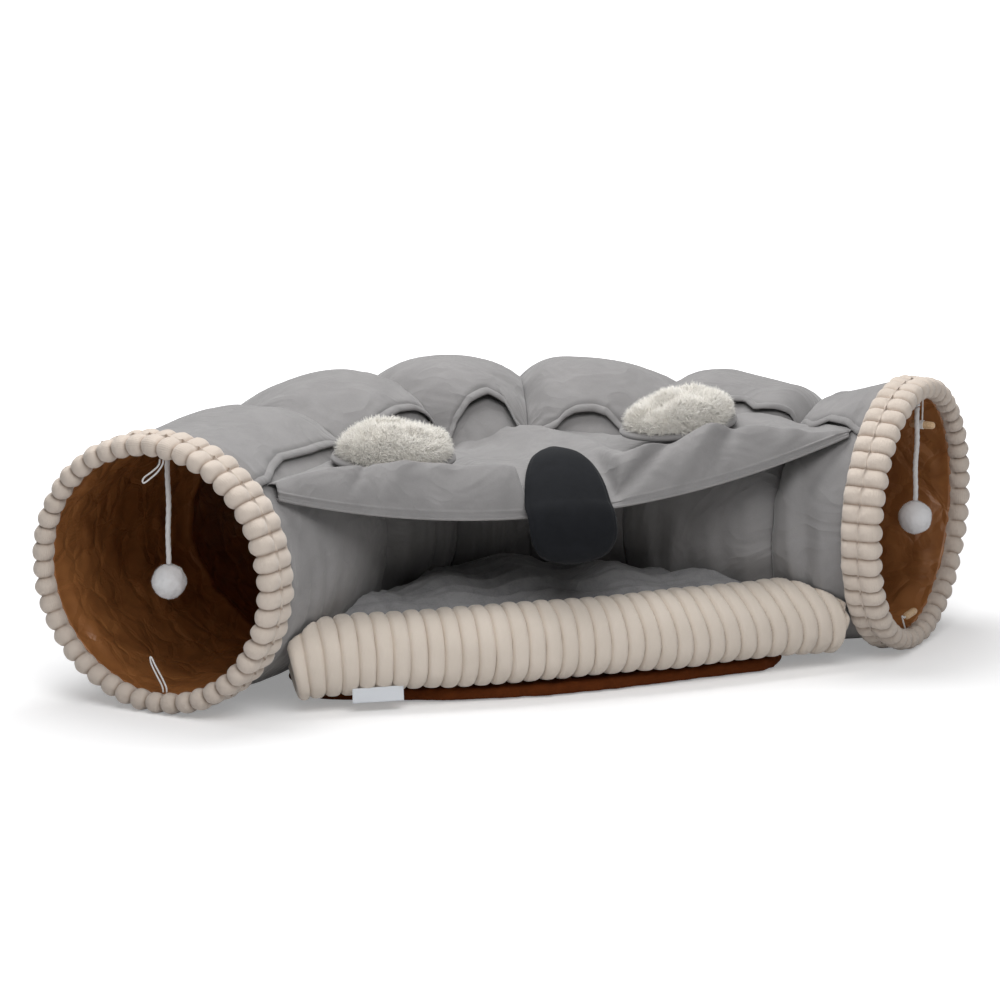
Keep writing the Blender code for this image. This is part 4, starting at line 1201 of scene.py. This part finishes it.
flap_brow = ((-0.2662, -0.1735, 0.2100), (-0.2387, -0.168, 0.2160), (-0.2044, -0.162, 0.2190),
             (-0.1686, -0.158, 0.2185), (-0.1384, -0.156, 0.2165), (-0.1158, -0.156, 0.2150),
             (-0.0955, -0.156, 0.2130), (-0.0664, -0.156, 0.2095), (-0.0376, -0.155, 0.2030),
             (-0.0172, -0.154, 0.1985), (0.0108, -0.153, 0.1890), (0.0492, -0.153, 0.1940),
             (0.0684, -0.153, 0.2070), (0.0922, -0.154, 0.2165), (0.1063, -0.155, 0.2200),
             (0.1353, -0.155, 0.2255), (0.1641, -0.156, 0.2285), (0.1848, -0.158, 0.2285),
             (0.2092, -0.161, 0.2265), (0.2212, -0.163, 0.2230), (0.2488, -0.168, 0.2195),
             (0.2829, -0.174, 0.2208))
brow_share = 0.86
# Each fold runs across the brow: where it is on the roof, at the brow and at the hem, its half
# width and rise, and how far down the front it reaches.
flap_folds = ((0.745, 0.705, 0.555, 0.030, -0.0100, 1.0), (0.790, 0.768, 0.685, 0.022, 0.0060, 1.0),
              (0.830, 0.812, 0.750, 0.016, -0.0055, 0.9), (0.165, 0.160, 0.110, 0.010, -0.0034, 0.8),
              (0.240, 0.225, 0.175, 0.022, 0.0034, 0.8), (0.330, 0.330, 0.250, 0.030, -0.0026, 0.8),
              (0.420, 0.410, 0.370, 0.030, 0.0030, 0.9), (0.900, 0.905, 0.870, 0.018, 0.0030, 0.8))


def nose_rest(share, forward):
    """The line that the nose pad lies along, over the front of the flap."""
    distance = flap_start + (tunnel_length - flap_end - flap_start) * share
    radius, height = tunnel_size(distance)
    turned = soft((share - 0.55) / 0.3)
    rear = tunnel_point(distance, math.radians(48 - 12 * turned), radius + 0.0018, height)
    hem = flap_corner("left").lerp(flap_corner("right"), share)
    hem.z -= 4 * 0.043 * share * (1 - share)
    point = rear.lerp(hem, forward)
    point.z = rear.z + (hem.z - rear.z) * forward ** 3
    for at_rear, at_hem, width in ((0.80, 0.60, 0.035), (0.30, 0.20, 0.03), (0.46, 0.42, 0.025)):
        middle = at_rear + (at_hem - at_rear) * forward
        valley = math.exp(-((share - middle) / width) ** 2)
        point.z -= 0.007 * valley * math.sin(math.pi * min(forward / 0.91, 1))
    return point


def flap_surface(across, forward):
    """The flap's cloth: across from left to right, forward from its ridge (0) to its hem (1)."""
    distance = flap_start + (tunnel_length - flap_end - flap_start) * across
    radius, height = tunnel_size(distance)
    share = distance / tunnel_length
    ridge_turn = math.radians(float(np.interp(share, *zip(*flap_ridges))))
    drawn = 0.022 * (0.3 + 0.7 * (1 + math.cos(ridge_turn)) / 2) * drawn_in(distance)
    if forward < 0:
        under_turn = min(hem_turn(distance) - math.radians(2), ridge_turn - math.radians(3))
        turn = ridge_turn + (under_turn - ridge_turn) * -forward
        dip = 0.004 + 0.010 * math.exp(-((across - 0.07) / 0.05) ** 2)
        dip *= math.sin(math.pi * min(-forward * 1.4, 1))
        settle = soft(-forward * 2)
        return tunnel_point(distance, turn, radius + 0.0022 - drawn * settle - dip
                            - 0.0036 * settle, height)
    ridge = tunnel_point(distance, ridge_turn, radius + 0.0022, height)
    hem = flap_corner("left").lerp(flap_corner("right"), across)
    hem.z -= 4 * 0.043 * across * (1 - across)
    brow_x = ridge.x + (hem.x - ridge.x) * brow_share
    xs, ys, zs = zip(*flap_brow)
    brow = Vector((brow_x, float(np.interp(brow_x, xs, ys)), float(np.interp(brow_x, xs, zs))))
    by_ear = max(soft((0.078 - abs(brow_x + 0.130)) / 0.020),
                 soft((0.076 - abs(brow_x - 0.150)) / 0.020))
    rise = 0.002 + 0.0150 * by_ear
    if forward < brow_share:
        back = forward / brow_share
        point = ridge.lerp(brow, back)
        point.z = ridge.z + (brow.z - rise - ridge.z) * back + rise * soft((back - 0.90) / 0.10)
        down = 0.0
    else:
        down = (forward - brow_share) / (1 - brow_share)
        point = brow.lerp(hem, 1 - (1 - down) ** 1.5)
        point.z = brow.z + (hem.z - brow.z) * down ** 1.35
    facing = soft((forward - brow_share + 0.06) / 0.12)
    out = Vector((0, -0.75 * facing, 1 - 0.35 * facing))
    for at_roof, at_brow, at_hem, width, depth, reach in flap_folds:
        if down > 0:
            middle = at_brow + (at_hem - at_brow) * down
            fade = max(0.0, math.cos(0.5 * math.pi * min(down / reach, 1)) ** 0.7)
        else:
            middle = at_roof + (at_brow - at_roof) * max(0.0, (forward / brow_share - 0.5) * 2)
            fade = soft((forward / brow_share - 0.45) / 0.5)
        point += out * depth * fade * math.exp(-((across - middle) / width) ** 2)
    inside = math.sin(math.pi * min(forward / 0.96, 1)) ** 0.5 * min(1, forward * 6)
    slack = noise.noise(Vector((point.x * 14, point.y * 20, 1.5)))
    fine = noise.noise(Vector((point.x * 34, point.z * 46, 8.5)))
    point += out * (0.0024 * slack + 0.0011 * fine) * inside
    if down > 0.5:
        band = (1 - down) * (brow.z - hem.z) + 0.0001
        point += out * (0.0010 * math.exp(-((band - 0.0038) / 0.0008) ** 2)
                        - 0.0010 * math.exp(-((band - 0.0024) / 0.0008) ** 2))
    seat = nose_rest(across, 1.0)
    rear = nose_rest(across, 0.0)
    if rear.y > point.y > seat.y:
        rest = nose_rest(across, (rear.y - point.y) / (rear.y - seat.y))
        pressed = soft((0.050 - abs(point.x - 0.0165)) / 0.010) * soft((-0.085 - point.y) / 0.02)
        point.z += (min(point.z, rest.z + 0.001) - point.z) * pressed
    return point


columns = 240
back_rows = [-1, -0.85, -0.7, -0.55, -0.42, -0.3, -0.2, -0.12, -0.06]
front_rows = [brow_share * k / 44 for k in range(44)]
front_rows += [brow_share + (1 - brow_share) * k / 56 for k in range(57)]
rows = back_rows + front_rows
points = []
for forward in rows:
    points.append([tuple(flap_surface(c / columns, forward)) for c in range(columns + 1)])
hem_line = [flap_surface(c / columns, 1.0) for c in range(columns + 1)]
just_before = [flap_surface(c / columns, 0.95) for c in range(columns + 1)]
for drop, on, in ((0.0002, 0.0007), (0.0009, 0.0012), (0.0018, 0.0012), (0.0026, 0.0006),
                  (0.0029, -0.0004), (0.0026, -0.0016), (0.0019, -0.0026), (0.0020, -0.0050),
                  (0.0026, -0.0080), (0.0032, -0.0110)):
    row = []
    for c in range(columns + 1):
        ahead = (hem_line[c] - just_before[c])
        ahead.z = 0
        ahead.normalize()
        row.append(tuple(hem_line[c] + ahead * on - up * drop))
    points.append(row)
mesh = grid_mesh("roof_flap", np.array(points), (0.0034, 0.0034))
if sum(face.normal.z for face in mesh.polygons) < 0:
    mesh.flip_normals()
made = thick_cloth("roof_flap", mesh, 0.0010)
for vert in made.vertices:
    if vert.co.x < 0:
        vert.co = clear_of_legs(vert.co, 0.1190, 0.1145)
flap = finish_piece("flap_cloth", made, grey_suede, "tunnel_bed", ("roof_flap",))


# Nose: an egg-shaped pad of charcoal velvet, two halves with a seam round the edge, sewn to the
# flap by its top and hanging over the hem.
velvet, tree, shader = new_look("charcoal_velvet", {"Roughness": 0.85, "Specular IOR Level": 0.12,
                                                    "Sheen Weight": 0.06, "Sheen Roughness": 0.35})
clouds = noise_over(tree, 55, Detail=4, Distortion=1.0)
tint = between(tree, clouds.outputs["Fac"], (0.0045, 0.0050, 0.0062), (0.0110, 0.0120, 0.0145))
tree.links.new(tint, shader.inputs["Base Color"])
raise_by(tree, shader, noise_over(tree, 900).outputs["Fac"], 0.4, 0.0003)

nose_line = (nose_rest(0.59, 0.58) - nose_rest(0.49, 0.58)).normalized()
resting = [nose_rest(0.532 - 0.036 * k / 5, 0.56 + 0.44 * k / 5) for k in range(6)]
path = resting + [resting[-1] + Vector((0, -0.043 * f, -0.043 * d)) for f, d in
                  zip((0.18, 0.29, 0.33, 0.33, 0.31), (0.12, 0.34, 0.6, 0.84, 1.0))]
widths = (0.16, 0.5, 0.7, 0.84, 0.93, 0.985, 1.0, 1.0, 0.92, 0.7, 0.2)
thicks = (0.25, 0.6, 0.85, 0.95, 1.0, 1.0, 1.0, 1.0, 0.95, 0.75, 0.3)
line = smooth_route([Vector(p) for p in path], 7)
sizes = smooth_route([Vector((w, t, 0)) for w, t in zip(widths, thicks)], 7)
points = []
for k, point in enumerate(line):
    along = (line[min(k + 1, len(line) - 1)] - line[max(k - 1, 0)]).normalized()
    out = along.cross(nose_line).normalized()
    half_width = 0.0402 * min(max(sizes[k].x, 0.08), 1.0)
    half_depth = 0.009 * min(max(sizes[k].y, 0.12), 1.03)
    centre = point + out * (half_depth + 0.0006)
    row = []
    for j in range(72):
        turn = 2 * math.pi * j / 72
        wide, deep = math.cos(turn), math.sin(turn)
        ridge = (0.0011 * math.exp(-(deep / 0.10) ** 2)
                 - 0.0009 * math.exp(-((abs(deep) - 0.26) / 0.12) ** 2))
        plump = abs(deep) ** 0.85 * (1 if deep > 0 else -1)
        row.append(tuple(centre + nose_line * (half_width * wide + ridge * (1 if wide > 0 else -1))
                         + out * (half_depth * plump)))
    points.append(row)
mesh = grid_mesh("nose_pad", np.array(points), (0.002, 0.002), round_columns=True)
cap_ends(mesh, 72)
mesh.shade_smooth()
nose = finish_piece("nose_velvet", mesh, velvet, "nose", ("nose_pad",))


# Ears: each a stiffened grey suede back with a deep white faux-fur front, sewn to the flap by
# its front edge. The fur is thousands of fine tapered strands over a soft pad.
fur = thread_look("white_fur", (0.93, 0.915, 0.875), (0.80, 0.76, 0.69), 90, 0.0002)
fur_shader = fur.node_tree.nodes["Principled BSDF"]
# Painted light: the fur glows faintly, which lifts the shade between its strands.
fur_shader.inputs["Emission Color"].default_value = (1.0, 0.985, 0.95, 1)
fur_shader.inputs["Emission Strength"].default_value = 0.03
ear_length, ear_depth = 0.122, 0.070
ear_places = {"left": (Vector((-0.12981, -0.14495, 0.20138)), 8, 12, 3),
              "right": (Vector((0.15011, -0.14133, 0.2143)), 14, 7, -3)}
for side, (seam, yaw, tilt, lean) in ear_places.items():
    ear_frame = (Matrix.Translation(seam) @ Matrix.Rotation(math.radians(yaw), 4, "Z")
                 @ Matrix.Rotation(math.radians(tilt), 4, "X")
                 @ Matrix.Rotation(math.radians(lean), 4, "Y")
                 @ Matrix.Translation((0, ear_depth / 2, 0)))
    rim = [(0.0, 0.0002), (0.5, 0.0002), (0.85, 0.0002), (0.96, 0.0006), (0.995, 0.0018),
           (1.0, 0.0032), (0.992, 0.0046), (0.95, 0.0058), (0.85, 0.0060), (0.4, 0.0060), (0.0, 0.0060)]
    points = []
    for reach, height in rim:
        row = []
        for j in range(96):
            turn = 2 * math.pi * j / 96
            wave = 1 + 0.012 * math.sin(5 * turn + len(side))
            spot = Vector((ear_length / 2 * reach * wave * math.cos(turn),
                           ear_depth / 2 * reach * wave * math.sin(turn), height))
            row.append(tuple(ear_frame @ spot))
        points.append(row)
    mesh = grid_mesh(f"{side}_ear_back", np.array(points), (0.003, 0.003), round_columns=True)
    face_out(mesh)
    mesh.shade_smooth()
    finish_piece(f"{side}_ear_suede", mesh, grey_suede, f"{side}_ear", (f"{side}_ear_back",))

    points = []
    for i in range(25):
        rise = math.sin(0.5 * math.pi * i / 24)
        reach = math.cos(0.5 * math.pi * i / 24)
        row = []
        for j in range(96):
            turn = 2 * math.pi * j / 96
            lump = noise.noise(Vector((2 * reach * math.cos(turn), 2 * reach * math.sin(turn),
                                       len(side) + 2 * rise)))
            spot = Vector(((ear_length / 2 - 0.0095) * reach * math.cos(turn),
                           (ear_depth / 2 - 0.006) * reach * math.sin(turn),
                           0.0064 + (0.0225 + 0.009 * lump + (0.06 if side == "right" else 0.0)
                                     * ear_depth * reach * math.cos(turn)) * rise ** 0.62))
            row.append(tuple(ear_frame @ spot))
        points.append(row)
    pad = grid_mesh(f"{side}_ear_pad", np.array(points), (0.003, 0.003), round_columns=True)
    face_out(pad)
    pad.shade_smooth()
    mesh = fuzz_over(f"{side}_ear_fur", pad, fur,
                     {"Fibres per square metre": 1500000.0, "Fibre length": 0.0072,
                      "Fibre thickness": 0.00042, "Lean": 0.9, "Seed": 20 + len(side)})
    finish_piece(f"{side}_ear_fluff", mesh, fur, f"{side}_ear", (f"{side}_ear_pile",))
